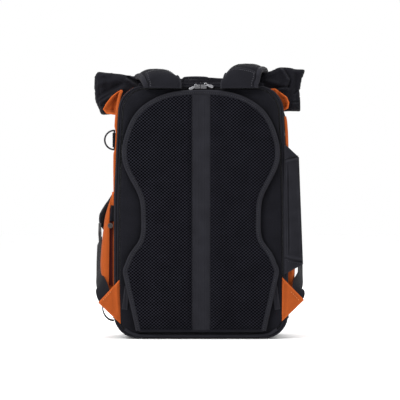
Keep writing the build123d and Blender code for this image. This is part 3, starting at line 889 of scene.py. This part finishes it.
def shoulder_straps():
    for side, sign in SIDES.items():
        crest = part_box("shoulder_strap_" + side)[1].z / MM - 5.5
        reach = {"left": 180.5, "right": 175.5}[side]
        points, across = strap_line(sign, crest, reach)
        path, wide, out, (widths, thicks) = frames_along(points, across, 260, STRAP_WIDTHS, STRAP_THICKS)
        facing = -np.sign(out[2, 1]) or 1  # out of the wearer's face of the strap's root
        out = out * facing
        to_end = np.linalg.norm(path - path[-1], axis=1) / (19 * MM)
        widths = widths * np.clip(1 - np.clip(1 - to_end, 0, 1) ** 2, 0.1, 1) ** 0.5  # the round end
        widths, thicks = widths * MM, thicks * MM
        turned = sign * np.sign(wide[0, 0])  # wide times turned points away from the middle of the pack
        over = step(path[:, 2], 436 * MM, 463 * MM)
        # How far the inner and the outer edge hang down.
        fall = {"left": (16.0, 12.0), "right": (19.0, 7.0)}[side]

        def bend(k, u):
            """How far the cloth at u, from -1 on the inner edge to 1, hangs from the strap's middle line."""
            drop = np.where(u < 0, fall[0], fall[1]) * np.abs(u) ** 3.2 * MM
            return -np.outer(drop * over[k], (0, 0, 1))

        shift = turned * 2.2 * MM * step(path[:, 2], 440 * MM, 452 * MM) * (path[:, 1] < 0)
        path = path + wide * shift[:, None]
        t = np.linspace(0, 2 * math.pi, 72, endpoint=False)
        c, s = np.cos(t), np.sin(t)
        x = np.sign(c) * np.abs(c) ** 0.42
        y = np.sign(s) * np.abs(s) ** 0.8
        crown = 1 - 0.3 * np.abs(x) ** 3
        rows = []
        for k in range(len(path)):
            knit = 0.12 * MM * np.cos(x * widths[k] / 2 * 2 * math.pi / (2.6 * MM)) * (k % 2 * 2 - 1)
            high = y * crown * thicks[k] / 2 + knit * np.sign(s)
            flat = path[k] + np.outer(x * widths[k] / 2, wide[k])
            rows.append(flat + np.outer(high, out[k]) + bend(k, x * turned))
        pad = grid("strap_padding_" + side, np.array(rows), wrap=True, caps=True)
        finish_piece(pad, "strap_knit", "pack", "shoulder_strap_" + side)
        for edge in ("outer", "inner"):
            which = 1 if edge == "outer" else -1
            wide_band = 8.5 * MM if edge == "outer" else 4.0 * MM
            at = (widths / 2 - wide_band / 2 + 0.6 * MM) * turned * which
            u = (1 - wide_band / widths) * which
            hang = np.array([bend(k, np.array([u[k]]))[0] for k in range(len(path))])
            line = path + wide * at[:, None] + hang
            size = np.stack([np.full(len(line), wide_band), thicks * 0.92], axis=1)
            tape = sweep(f"strap_{edge}_binding_{side}", line, rounded(1, 1, 24, 3.4), across=wide,
                scale=size)
            finish_piece(tape, "binding", "pack")
        # The smooth patch that the strap's root is sewn down with, and its two rows of stitches.
        upto = int(np.argmax(path[:, 2] > (458 if side == "left" else 461) * MM)) + 2
        v = np.linspace(-1, 1, 60)
        lo, hi = -widths[0] / 2 + 1.0 * MM, widths[0] / 2 - 8.3 * MM
        patch = []
        for k in range(upto):
            reach_in = (lo + hi) / 2 + v * (hi - lo) / 2
            near_top = 1 - (k / (upto - 1)) ** 6 * 0.35
            height = (1 - 0.3 * np.abs(reach_in / (widths[k] / 2)) ** 3) * thicks[k] / 2
            height = height * (1 - np.abs(reach_in / (widths[k] / 2 + 0.2 * MM)) ** 14) + 0.9 * MM * near_top
            shape = reach_in * turned
            hang = bend(k, reach_in / (widths[k] / 2))
            top = path[k] + np.outer(shape, wide[k]) + np.outer(height, out[k]) + hang
            below = np.outer(height[::-1] - 2.2 * MM, out[k])
            bottom = path[k] + np.outer(shape[::-1], wide[k]) + below + hang[::-1]
            patch.append(np.concatenate([top, bottom]))
        made = grid("strap_root_patch_" + side, np.array(patch), wrap=True, caps=True)
        finish_piece(made, "soft_black", "pack")
        last = upto - 3
        seam = np.array(patch)[last, 3:57]
        stitches("strap_patch_stitches_" + side, seam + out[last] * 0.3 * MM, out[last], "pack",
            "patch_thread",
                 3.1 * MM, 2.0 * MM, 0.46 * MM)
        column = 56
        seam = np.array(patch)[2:last, column] + out[2:last] * 0.2 * MM
        stitches("strap_side_stitches_" + side, seam, out[2:last].mean(0), "pack",
            "patch_thread",
                 3.1 * MM, 2.0 * MM, 0.4 * MM)

        tip = {"left": -2.0, "right": 2.5}[side]
        lower = [(reach - 1, 19, 167), (reach - 1.5, -8, 140), (reach - 2, -34, 118), (reach - 3, -58, 104),
                 (reach - 8, -78, 93), (167.0, -85, 75.5 + tip), (157, -85.5, 67 + tip)]
        turns = [(0.34, 0.74, -0.58), (0.38, 0.68, -0.62), (0.34, 0.57, -0.75), (0.35, 0.38, -0.85),
            (0.5, 0.1, -0.85),
                 (0.67, 0, -0.74), (0.67, 0, -0.74)]
        flip = np.array([sign, 1, 1])
        path, wide, out, _ = frames_along(mm(*lower) * flip, np.array(turns) * flip, 100, [0] * 7)
        web = sweep("adjuster_webbing_" + side, path, rounded(25 * MM, 2.0 * MM, 40, 4.5), across=wide)
        finish_piece(web, "webbing", "pack", "lower_webbing_" + side)


# X and Z of each ring in mm, and the way the pull points in degrees.
PULLS = {"left": (-8.2, 437.0, -148), "right": (7.5, 439.2, -20)}


def zip_pulls():
    for side, (x, z, degrees) in PULLS.items():
        turn = math.radians(degrees)
        way = np.array([math.cos(turn), 0, math.sin(turn)])
        cross = np.array([-way[2], 0, way[0]])
        centre = np.array([x * MM, -91.4 * MM, z * MM])
        t = np.linspace(0, 2 * math.pi, 40, endpoint=False)
        ring_path = centre + np.outer(np.cos(t) * 2.5 + 0.9, way) * MM + np.outer(np.sin(t), cross) * 2.4 * MM
        loop = sweep(f"zip_pull_ring_{side}", ring_path, rounded(1.2 * MM, 1.2 * MM, 14, 2.0),
            out=(0, -1, 0), closed=True)
        long = np.linspace(2.4, 14.5, 44)
        half = np.interp(long, (2.4, 4.2, 7, 12, 13.8, 14.5), (1.2, 1.5, 2.2, 2.7, 2.2, 1.0))
        thick = np.interp(long, (2.4, 4, 13.5, 14.5), (1.0, 1.5, 1.3, 0.7))
        path = centre + np.outer(long * MM, way)
        scale = np.stack([half * 2, thick], axis=1) * MM
        paddle = sweep(f"zip_pull_paddle_{side}", path, rounded(1, 1, 26, 3.0),
            across=np.tile(cross, (44, 1)), scale=scale)
        finish_piece(loop, "zip_metal", f"zip_pull_{side}", f"door_zip_pull_{side}")
        finish_piece(paddle, "zip_metal", f"zip_pull_{side}")


def tube_handles():
    band = [(-31.5, 444.5), (-31.2, 448.2), (-28.0, 450.8), (-18, 451.6), (-9, 451.8), (0, 451.6),
        (10, 450.8),
            (13.4, 448.2), (13.6, 444.5)]
    path = smooth_path([(x * MM, -74 * MM, z * MM) for x, z in band], 110)
    # Narrow at both ends, so that the handle clears the yoke under it when it tilts.
    width = np.interp(path[:, 2], np.array([444.5, 446.2, 448.2, 450.8, 451.8]) * MM,
        [3.2, 3.8, 5.4, 7.8, 9.0])
    size = np.stack([width, np.interp(width, [3.2, 7.8], [3.0, 4.4])], axis=1) * MM
    handle = sweep("grab_handle_cover", path, rounded(1, 1, 32, 2.6), across=np.tile((0, 1.0, 0), (110, 1)),
        scale=size)
    finish_piece(handle, "binding", "grab_handle", "grab_handle")

    loop = [(-170, 60), (-169.5, 50), (-166, 41), (-159, 34), (-150.2, 31.5)]
    path = smooth_path([(x * MM, -81.5 * MM, z * MM) for x, z in loop], 60)
    size = np.stack([np.full(60, 7.0), np.linspace(1.6, 3.6, 60)], axis=1) * MM
    made = sweep("base_loop_webbing", path, rounded(1, 1, 20, 4.0), across=np.tile((0, 1.0, 0), (60, 1)),
        scale=size)
    finish_piece(made, "webbing", "pack", "base_loop_left")

    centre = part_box("d_ring_tunnel")
    middle = (centre[0] + centre[1]) / 2
    turn = np.linspace(0, 2 * math.pi, 40, endpoint=False)
    rows = []
    for z in np.linspace(centre[0].z, centre[1].z, 26):
        radius = (centre[1].x - centre[0].x) / 2 * (1 + 0.06 * math.cos(z * 2 * math.pi / (4 * MM)))
        rows.append([(middle.x + radius * math.cos(a), middle.y + radius * math.sin(a), z) for a in turn])
    made = grid("d_ring_tunnel_cloth", np.array(rows), wrap=True, caps=True)
    finish_piece(made, "black_fabric", "pack", "d_ring_tunnel")


def side_handle():
    ends = resample(mm((143.8, 334), (147, 334), (169, 313.5), (176, 129), (161, 121), (143.8, 111)), 700,
        closed=True)

    def outer(x, z, d):
        inward_x = x - 143.8 * MM
        sleeve = step(z, 134 * MM, 138 * MM) * (1 - step(z, 309 * MM, 313 * MM))
        y = -90.6 * MM - 3.0 * MM * step(d, 0, 5 * MM) * sleeve - 1.0 * MM * step(d, 0, 2 * MM)
        y = y + crease(x, z, (143.5, 308.5), (169.5, 315), 3.2, 1.7) + crease(x, z, (176, 133.5),
            (143, 140), 3.2, 1.7)
        y = y + crease(x, z, (149.5, 302), (151.5, 142), 2.6, 1.2) + crease(x, z, (146.0, 305),
            (147.6, 138), 1.8, 0.9)
        y = y + 0.5 * MM * np.exp(-(inward_x / (3 * MM)) ** 2)
        return y + ripple(np.stack([x, 0 * x, z], 1), 34 * MM, 0.55 * MM, 21)

    cover = slab("side_handle_cover", ends, 1.0 * MM, outer, lambda x, z, d: -87.2 * MM)
    finish_piece(cover, "handle_fabric", "side_handle", "side_handle")
    for name, line in (("top", [(146, 311.4), (167, 316.5)]), ("bottom", [(147, 134.5), (173.5, 129.8)])):
        path = smooth_path([(x * MM, -92.4 * MM, z * MM) for x, z in line], 20)
        stitches("side_handle_stitches_" + name, path, (0, -1, 0), "side_handle")


def anchors():
    for side, sign in SIDES.items():
        corners = {"left": [(140.4, 102.5), (177.4, 63), (138.6, 26)],
            "right": [(139.8, 107), (178, 67.5), (139.6, 30.5)]}
        loop = mm(*corners[side]) * np.array([sign, 1])
        if sign < 0:
            loop = loop[::-1]
        loop = resample(loop, 400, closed=True)

        def face(x, z, d, sign=sign):
            out = x * sign - 139.7 * MM
            tuck = 1.3 * MM * np.exp(-(out / (5 * MM)) ** 2)
            soft = ripple(np.stack([x, 0 * x, z], 1), 30 * MM, 0.8 * MM, 71 + sign) * step(d, 0, 5 * MM)
            fold = crease(x, z, (sign * 146, 96), (sign * 143, 40), 1.6 * sign, 3.0)
            flat = -90.1 * MM - 1.6 * MM * step(d, 0, 2.2 * MM) - 0.9 * MM * step(d, 3 * MM, 14 * MM)
            return flat + 1.6 * tuck + soft + fold

        flap = slab("anchor_flap_" + side, loop, 0.9 * MM, face, lambda x, z, d: -87.2 * MM)
        finish_piece(flap, "orange_fabric", "pack", "strap_anchor_" + side)
        line = [(sign * x * MM, -92.95 * MM, z * MM) for x, z in ((156.0, 81.0), (168.0, 68.0))]
        stitches("anchor_stitches_" + side, smooth_path(line, 12), (0, -1, 0), "pack",
            "orange_thread",
                 radius=0.55 * MM)


# ---------------------------------------------------------------- roll top and collar
def sculpt(obj, change):
    """Moves a piece's vertices by what change gives for their places and normals."""
    co = np.array([v.co for v in obj.data.vertices])
    normal = np.array([v.normal for v in obj.data.vertices])
    obj.data.vertices.foreach_set("co", (co + change(co, normal)).ravel())
    obj.data.update()
    return obj


ROLL_OUTLINE = [  # X and Z of the roll's corners in mm
    (-176, 460), (-130, 456), (-60, 453), (60, 454), (120, 463), (136, 469), (178.7, 464), (172, 444.5),
    (169, 428), (170, 393), (-169.5, 387.5), (-180, 411), (-182.5, 432), (-181.5, 450),
]
ROLL_CREASES = [  # from, to, depth and width of each fold on the wearer's side
    ((-128, 452), (-104, 439), 6.0, 2.4), ((-178, 416), (-132, 440), 2.6, 3.6),
    ((-176, 408), (-150, 424), 2.2, 2.2), ((-181, 436), (-140, 447), -2.0, 5.0),
    ((-175, 399), (-166, 404), 1.6, 1.8), ((-118, 456), (-104, 454), 1.8, 2.0),
    ((140, 469), (153, 446), 3.4, 2.0), ((153, 447), (148, 430), 2.8, 2.2),
    ((124, 433), (151, 434), 2.4, 2.0), ((156, 421), (172, 433), 1.6, 1.6),
    ((154, 408), (171, 409.5), 1.8, 1.4), ((112, 446), (136, 439), -1.8, 4.0),
    ((160, 460), (163, 400), 1.2, 3.0), ((-165, 452), (-158, 430), 1.0, 4.0),
]


def roll():
    low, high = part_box("roll_top")
    middle = (low.y + high.y) / 2
    loop = resample(mm(*ROLL_OUTLINE)[::-1], 900, closed=True)
    for _ in range(4):
        loop = (np.roll(loop, 1, 0) + 2 * loop + np.roll(loop, -1, 0)) / 4
    obj = slab("roll_cloth", loop, 2.2 * MM, lambda x, z, d: low.y + 7 * MM * (1 - step(d, -4 * MM, 8 * MM)),
               lambda x, z, d: high.y - 7 * MM * (1 - step(d, -4 * MM, 8 * MM)))
    puff(obj, pressure=6.0, cap=5 * MM, pin=lambda co: to_edge(co[:, [0, 2]], loop)[0] < 0.6 * MM)
    modify(obj, "SUBSURF", levels=1, render_levels=1)

    def folds(co, normal):
        x, z = co[:, 0], co[:, 2]
        push = np.zeros_like(co)
        wearer = np.clip(-normal[:, 1], 0, 1)
        outer = np.clip(normal[:, 1], 0, 1)
        for a, b, depth, width in ROLL_CREASES:
            push[:, 1] += crease(x, z, a, b, 1.5 * depth, width) * wearer
        for level, depth in ((404, 1.6), (420, 2.2), (436, 1.8)):
            line = (level + 5 * np.sin(x / (60 * MM))) * MM
            push[:, 1] -= depth * MM * np.exp(-((z - line) / (2.2 * MM)) ** 2) * outer
        uneven = ripple(co * (1, 1, 0.55), 46 * MM, 1.7 * MM, 31) + ripple(co, 15 * MM, 0.35 * MM, 32)
        push += normal * uneven[:, None]
        # The rolled cloth's layers show as a spiral on both ends.
        end = step(np.abs(x), 160 * MM, 176 * MM) * np.abs(normal[:, 0])
        angle = np.arctan2(z - 425 * MM, (co[:, 1] - middle) * 2.2)
        radius = np.hypot(z - 425 * MM, (co[:, 1] - middle) * 2.2)
        groove = np.cos(radius * 2 * math.pi / (11 * MM) - angle)
        push[:, 0] -= np.sign(x) * 2.6 * MM * step(groove, 0.2, 0.95) * end
        # The free ends flare out and up.
        push[:, 0] += 0.028 * x * step(np.abs(x), 110 * MM, 165 * MM)
        push[:, 2] += (1.8 + 2.4 * step(z, 390 * MM, 460 * MM)) * MM * step(np.abs(x), 90 * MM, 150 * MM)
        return push

    sculpt(obj, folds)
    box_uvs(obj)
    finish_piece(obj, "black_fabric", "pack", "roll_top")


GUSSETS = {
    "left": [(-145, 386.5), (-164, 389.5), (-169.5, 396.5), (-164, 407), (-155, 418.5), (-146, 426),
        (-136.3, 431),
             (-137.5, 424), (-141.0, 410)],
    "right": [(134, 386), (142, 394), (151, 398.6), (152.8, 408), (148.6, 418), (128.6, 432.4), (118, 432)],
}


def gussets():
    first = None
    for side, points in GUSSETS.items():
        sign = SIDES[side]
        loop = mm(*points)
        if sign < 0:
            loop = loop[::-1]
        loop = resample(loop, 420, closed=True)
        low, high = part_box("collar_gussets")

        def face(x, z, d, sign=sign):
            out = x * sign
            dish = 9 * MM * step(d, 0.5 * MM, 9 * MM)
            fold = crease(x, z, (sign * 134, 428), (sign * 146, 392), 3.0, 2.4) if sign > 0 else 0
            seam = out - 143.5 * MM + (z - 400 * MM) * 0.2
            sunk = 7 * MM * np.exp(-((seam - 5 * MM) / (6 * MM)) ** 2) * step(d, 1.5 * MM, 6 * MM)
            return low.y + 2.2 * MM + dish * 0.6 + fold + sunk

        made = slab("collar_gusset_" + side, loop, 0.9 * MM, face, lambda x, z, d: low.y + 14 * MM + 0 * x)
        finish_piece(made, "orange_fabric", "pack")
        first = first or made
    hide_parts("collar_gussets")
    for side, sign in SIDES.items():
        # Flat orange piping that runs up beside the rim into the collar.
        line = {"left": [(-148.5, 250), (-148.9, 300), (-148.0, 345), (-145.6, 385), (-141.5, 415),
            (-137.0, 429)],
                "right": [(148.9, 300), (148.2, 345), (146.6, 372), (144.6, 384)]}[side]
        path = smooth_path([(x * MM, -83.4 * MM, z * MM) for x, z in line], 140)
        # The piping thins where the D-ring swings past it.
        thin = np.exp(-((path[:, 2] - 343.5 * MM) / (20 * MM)) ** 6) * (side == "left")
        path = path + np.stack([1.5 * MM * thin, 0 * thin, 0 * thin], axis=1)
        size = np.stack([5.4 - 2.8 * thin, 4.0 - 1.4 * thin], axis=1) * MM
        pipe = sweep("side_piping_" + side, path, rounded(1, 1, 26, 2.3), out=(0, -1, 0), scale=size)
        finish_piece(pipe, "orange_fabric", "pack")
    loop = mm((134.5, 404), (137, 392), (139, 381), (146.5, 381), (143.5, 392), (140, 399))
    tab = slab("collar_tab", resample(loop, 240, closed=True), 0.8 * MM,
               lambda x, z, d: -82.0 * MM - 1.6 * MM * step(d, 0, 2 * MM), lambda x, z, d: -60 * MM)
    finish_piece(tab, "black_fabric", "pack", "collar_strap_right")


# ---------------------------------------------------------------- shell, pockets and panel
SHELLS = [  # node, material, slot, then voxel, wobble and its size in mm, seed and rounds of smoothing
    ("front_panel", "black_shell", "black_fabric", 2.4, 1.3, 85, 41, 3),
    ("side_panel_left", "orange_fabric", "orange_fabric", 2.2, 1.1, 60, 42, 3),
    ("side_panel_right", "orange_fabric", "orange_fabric", 2.2, 1.1, 60, 43, 3),
    ("base_tray", "black_shell", "black_fabric", 2.2, 0.6, 60, 44, 3),
    ("base_straps", "webbing", "webbing", 0.9, 0.0, 60, 45, 2),
    ("top_yoke", "black_fabric", "black_fabric", 1.6, 0.2, 40, 46, 3),
    ("collar_roof", "black_shell", "black_fabric", 2.0, 0.9, 50, 47, 3),
    ("front_pocket", "black_shell", "black_fabric", 1.3, 0.3, 60, 50, 4),
    ("laptop_sleeve", "lining", "lining", 1.4, 0.6, 60, 51, 3),
    ("battery_pouch", "lining", "lining", 1.2, 0.5, 30, 52, 3),
    ("panel_border", "black_fabric", "panel_fabric", 0.9, 0.15, 30, 53, 2),
    ("closure_loops", "webbing", "webbing", 0.7, 0.0, 30, 54, 2),
]


def shell():
    for node, look, slot, voxel, wobble, size, seed, rounds in SHELLS:
        soften(node, look, "pack", voxel * MM, wobble * MM, size * MM, seed, rounds)


POCKET_LEVELS = (47, 90, 128, 190, 214, 238, 252)
POCKET_BULGE = {"left": (154, 168.5, 174.5, 169, 165.5, 158, 153.5),
                "right": (154, 161, 163, 161, 159, 156, 153.5)}
POCKET_WALL = 150.9  # X of the seam where the pocket meets the side


def bottle_pockets():
    low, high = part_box("bottle_pocket_left")
    for side, sign in SIDES.items():
        heights = np.linspace(POCKET_LEVELS[0], POCKET_LEVELS[-1], 110)
        bulge = np.interp(heights,
            *smooth_path([(z, b) for z, b in zip(POCKET_LEVELS, POCKET_BULGE[side])], 200).T)
        around = np.linspace(0, 1, 170)
        outer = np.zeros((len(around), len(heights), 3))
        for j, (z, reach) in enumerate(zip(heights, bulge)):
            depth = reach - POCKET_WALL
            top = (z - heights[0]) / np.ptp(heights)
            back, front = low.y / MM + 0.4, high.y / MM - 0.4
            corner = min(14.0, depth + 2)
            corners = [
                (POCKET_WALL, back), (POCKET_WALL + depth * 0.72, back + 0.6), (reach, back + corner),
                (reach + 0.4, (back + front) / 2), (reach, front - 18),
                (POCKET_WALL + depth * 0.6, front - 4), (POCKET_WALL, front),
            ]
            line = smooth_path(corners, len(around))
            waves = np.sin(around * 2 * math.pi * 26 + 1.3 * np.sin(z / 9))
            gather = 0.55 * top**3 * waves * np.sin(math.pi * around)
            pleat = -1.8 * np.exp(-((around - 0.5) / 0.012) ** 2)
            outer[:, j, 0] = line[:, 0] + gather + pleat
            outer[:, j, 1] = line[:, 1]
            outer[:, j, 2] = z
        outer *= MM
        outer[..., 0] += ripple(outer, 55 * MM, 1.3 * MM, 61 + sign) * np.sin(math.pi * around)[:, None]
        outer[..., 0] = np.maximum(outer[..., 0], POCKET_WALL * MM)
        if side == "left":
            groove = np.exp(-((outer[..., 0] - 155.6 * MM) / (2.0 * MM)) ** 2) * (outer[..., 1] < -66 * MM)
            outer[..., 1] += 3.2 * MM * groove * step(outer[..., 2], 84 * MM, 96 * MM)
        wall = np.maximum(outer - np.array([1.3, 0, 0]) * MM, (POCKET_WALL * MM - 0.4 * MM, -1, -1))
        wall[..., 1] = outer[..., 1] - np.sign(outer[..., 1] + 15 * MM) * 1.2 * MM
        rows = np.concatenate([outer, wall[:, ::-1]], axis=1) * (sign, 1, 1)
        made = grid("bottle_pocket_cloth_" + side, rows, wrap=True, caps=True)
        finish_piece(made, "orange_fabric", "pack", "bottle_pocket_" + side)
        rim = (outer[:, -1] + wall[:, -1]) / 2 * (sign, 1, 1)
        hem = sweep("bottle_pocket_hem_" + side, rim - (0, 0, 2 * MM), rounded(2.6 * MM, 8 * MM, 24, 3.4),
                    across=np.cross(unit(np.gradient(rim, axis=0)), (0, 0, 1.0)))
        finish_piece(hem, "orange_fabric", "pack")
        seam = outer[8:-8, -12] * (sign, 1, 1)
        away = unit(np.stack([np.full(len(seam), sign), np.sign(seam[:, 1]) * 0.3, np.zeros(len(seam))],
            axis=1))
        stitches("bottle_pocket_stitches_" + side, seam + away * 0.15 * MM, away, "pack",
            "orange_thread")
    # Painted shade: a near-black orange sheet laid in the left pocket's rear groove, where the fold lies in
    # shadow.
    fold = resample(mm((-159.4, 92), (-153.0, 92), (-153.0, 222), (-157.4, 226)), 300, closed=True)
    back = low.y
    made = slab("pocket_fold_painted_shade", fold, 0.7 * MM,
                lambda x, z, d: back - 1.2 * MM + 1.6 * MM * step(d, 0, 2 * MM),
                lambda x, z, d: back + 4 * MM)
    finish_piece(made, "orange_shade", "pack")
    tab = resample(mm((-158.5, 203), (-150.5, 203), (-150.5, 230), (-155.5, 231)), 200, closed=True)
    made = slab("toggle_tab", tab, 0.7 * MM, lambda x, z, d: back - 1.6 * MM - 1.2 * MM * step(d, 0, 2 * MM),
                lambda x, z, d: back + 2 * MM)
    finish_piece(made, "black_fabric", "pack")


LINER = 4.9  # how far the lining lies inside the outer face, like all these in mm
HALF_WIDTH, TAPER, TAPER_FROM, TAPER_RUN = 150.5, 9.5, 240, 197
FOOT_ROUND, FOOT_TOP, HEAD_ROUND, HEAD_START = 40, 41.5, 44, 393.0
LINER_BACK, LINER_FRONT, ROOF_FRONT = -79.5, 69.3, -54.2  # Y of the edge at the door and of the far sides


def body_half(z):
    """Half the pack's width at height z in mm, with its rounded corners, on the lining."""
    straight = HALF_WIDTH - TAPER * np.clip((z - TAPER_FROM) / TAPER_RUN, 0, 1) - LINER
    r = FOOT_ROUND - LINER
    foot = straight - r + np.sqrt(np.clip(r ** 2 - np.minimum(z - FOOT_TOP, 0) ** 2, 0, None))
    r = HEAD_ROUND - LINER
    head = straight - r + np.sqrt(np.clip(r ** 2 - np.maximum(z - HEAD_START, 0) ** 2, 0, None))
    return np.minimum(straight, np.minimum(foot, head))


def wrapped(name, levels, back, front, corner):
    """A lining that runs round the inside at each (half width, z), open towards the door."""
    rows = []
    for half, z in levels:
        r = min(corner, half)
        turn = np.linspace(0, math.pi / 2, 16)
        right = [(half, back), *[(half - r + r * math.cos(a), front - r + r * math.sin(a)) for a in turn]]
        line = np.array(right + [(-x, y) for x, y in reversed(right)])
        line = resample(line, 150)
        rows.append(np.column_stack([line, np.full(len(line), z)]) * MM)
    rows = np.array(rows)
    inner = rows.copy()
    inner[..., 0] *= 1 - 0.5 * MM / 0.14
    inner[..., 1] = np.minimum(inner[..., 1], (front - 0.5) * MM)
    closed = np.concatenate([rows.transpose(1, 0, 2), inner.transpose(1, 0, 2)[:, ::-1]], axis=1)
    made = grid(name, closed, wrap=True, caps=True)
    return finish_piece(made, "lining", "pack")


def linings():
    bottom = 1.5 + LINER
    levels = [(w, bottom) for w in np.linspace(2, body_half(bottom), 30)]
    levels += [(body_half(z), z) for z in bottom + (371 - bottom) * np.linspace(0, 1, 90) ** 1.6][1:]
    wrapped("inner_lining", levels, LINER_BACK, LINER_FRONT, 36 - LINER)
    levels = [(body_half(z), z) for z in np.linspace(364, 431, 40)]
    wrapped("head_lining", levels, LINER_BACK, ROOF_FRONT, 2.0)


def edge_bindings():
    """Bindings over the seams where the base and the roof meet the walls."""
    for name, z in (("base_seam_binding", 38.0), ("roof_seam_binding", 367.0)):
        half = float(body_half(z)) + LINER + 0.2
        turn = np.linspace(0, math.pi / 2, 20)
        right = [(half, -76), *[(half - 36 + 36 * math.cos(a), 74.2 - 36 + 36 * math.sin(a)) for a in turn]]
        whole = right + [(-x, y) for x, y in reversed(right)]
        runs = {name: whole}
        if z > 300:  # two runs that leave the closure hook's swing free
            right = [(half, -48), *right[1:], (30, 74.2)]
            runs = {name + "_right": right, name + "_left": [(-x, y) for x, y in right]}
        for piece, run in runs.items():
            line = resample(np.array(run, float), 200)
            path = np.column_stack([line, np.full(200, z)]) * MM
            tape = sweep(piece, path, rounded(3.2 * MM, 6.4 * MM, 22, 3.0), out=(0, 0, 1.0))
            finish_piece(tape, "binding", "pack")


def seams():
    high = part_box("front_panel")[1]
    for side, sign in SIDES.items():
        path = [(sign * 108 * MM, high.y + 0.3 * MM, z) for z in np.linspace(46 * MM, 372 * MM, 90)]
        stitches(f"front_seam_stitches_{side}_a", path, (0, 1, 0), "pack", pitch=3.8 * MM)
        heights = np.linspace(40 * MM, 374 * MM, 12)
        path = smooth_path([(sign * 112 * MM, high.y - 0.2 * MM, z) for z in heights], 120)
        pipe = sweep("front_seam_piping_" + side, path, rounded(4.2 * MM, 3.4 * MM, 20, 2.2), out=(0, 1, 0))
        finish_piece(pipe, "binding", "pack")


def closure():
    path = [(-11.4, 440.6), (-9.8, 420), (2, 402), (24, 390.5), (50, 384.5), (72, 380.5), (75.4, 374),
        (75.4, 370.6)]
    line = smooth_path([(0, (y + 0.6) * MM, z * MM) for y, z in path], 150)
    strap = sweep("closure_webbing", line, rounded(25 * MM, 1.9 * MM, 40, 4.5),
        across=np.tile((1.0, 0, 0), (150, 1)))
    finish_piece(strap, "webbing", "pack", "closure_strap")


KEPT = {
    "frame_sheet": "frame_plastic", "frame_stays": "stay_aluminium", "door_zip_slider_left": "slider_metal",
    "door_zip_slider_right": "slider_metal",
    "ladder_lock_left": "black_plastic", "ladder_lock_right": "black_plastic", "d_ring": "dark_metal",
    "cord_lock_barrel": "grey_plastic", "cord_lock_button": "black_plastic", "pocket_zip_chain": "zip_coil",
    "pocket_zip_slider": "zip_metal", "pocket_zip_pull": "zip_metal", "panel_backsheet": "backsheet",
    "solar_cells": "silicon", "panel_cover": "clear_film", "panel_eyelets": "eyelet_metal",
    "controller_case": "black_plastic", "controller_board": "circuit", "usb_socket": "socket_steel",
    "usb_cover": "rubber_cover", "closure_hook": "dark_metal",
}


def kept_nodes():
    for node, look in KEPT.items():
        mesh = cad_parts[node].data
        mesh.materials.clear()
        mesh.materials.append(materials[look])


materials = make_materials()
camera()
studio()
kept_nodes()
door_pieces()
rim_and_zip()
shoulder_straps()
zip_pulls()
tube_handles()
side_handle()
anchors()
roll()
gussets()
shell()
linings()
edge_bindings()
bottle_pockets()
seams()
closure()
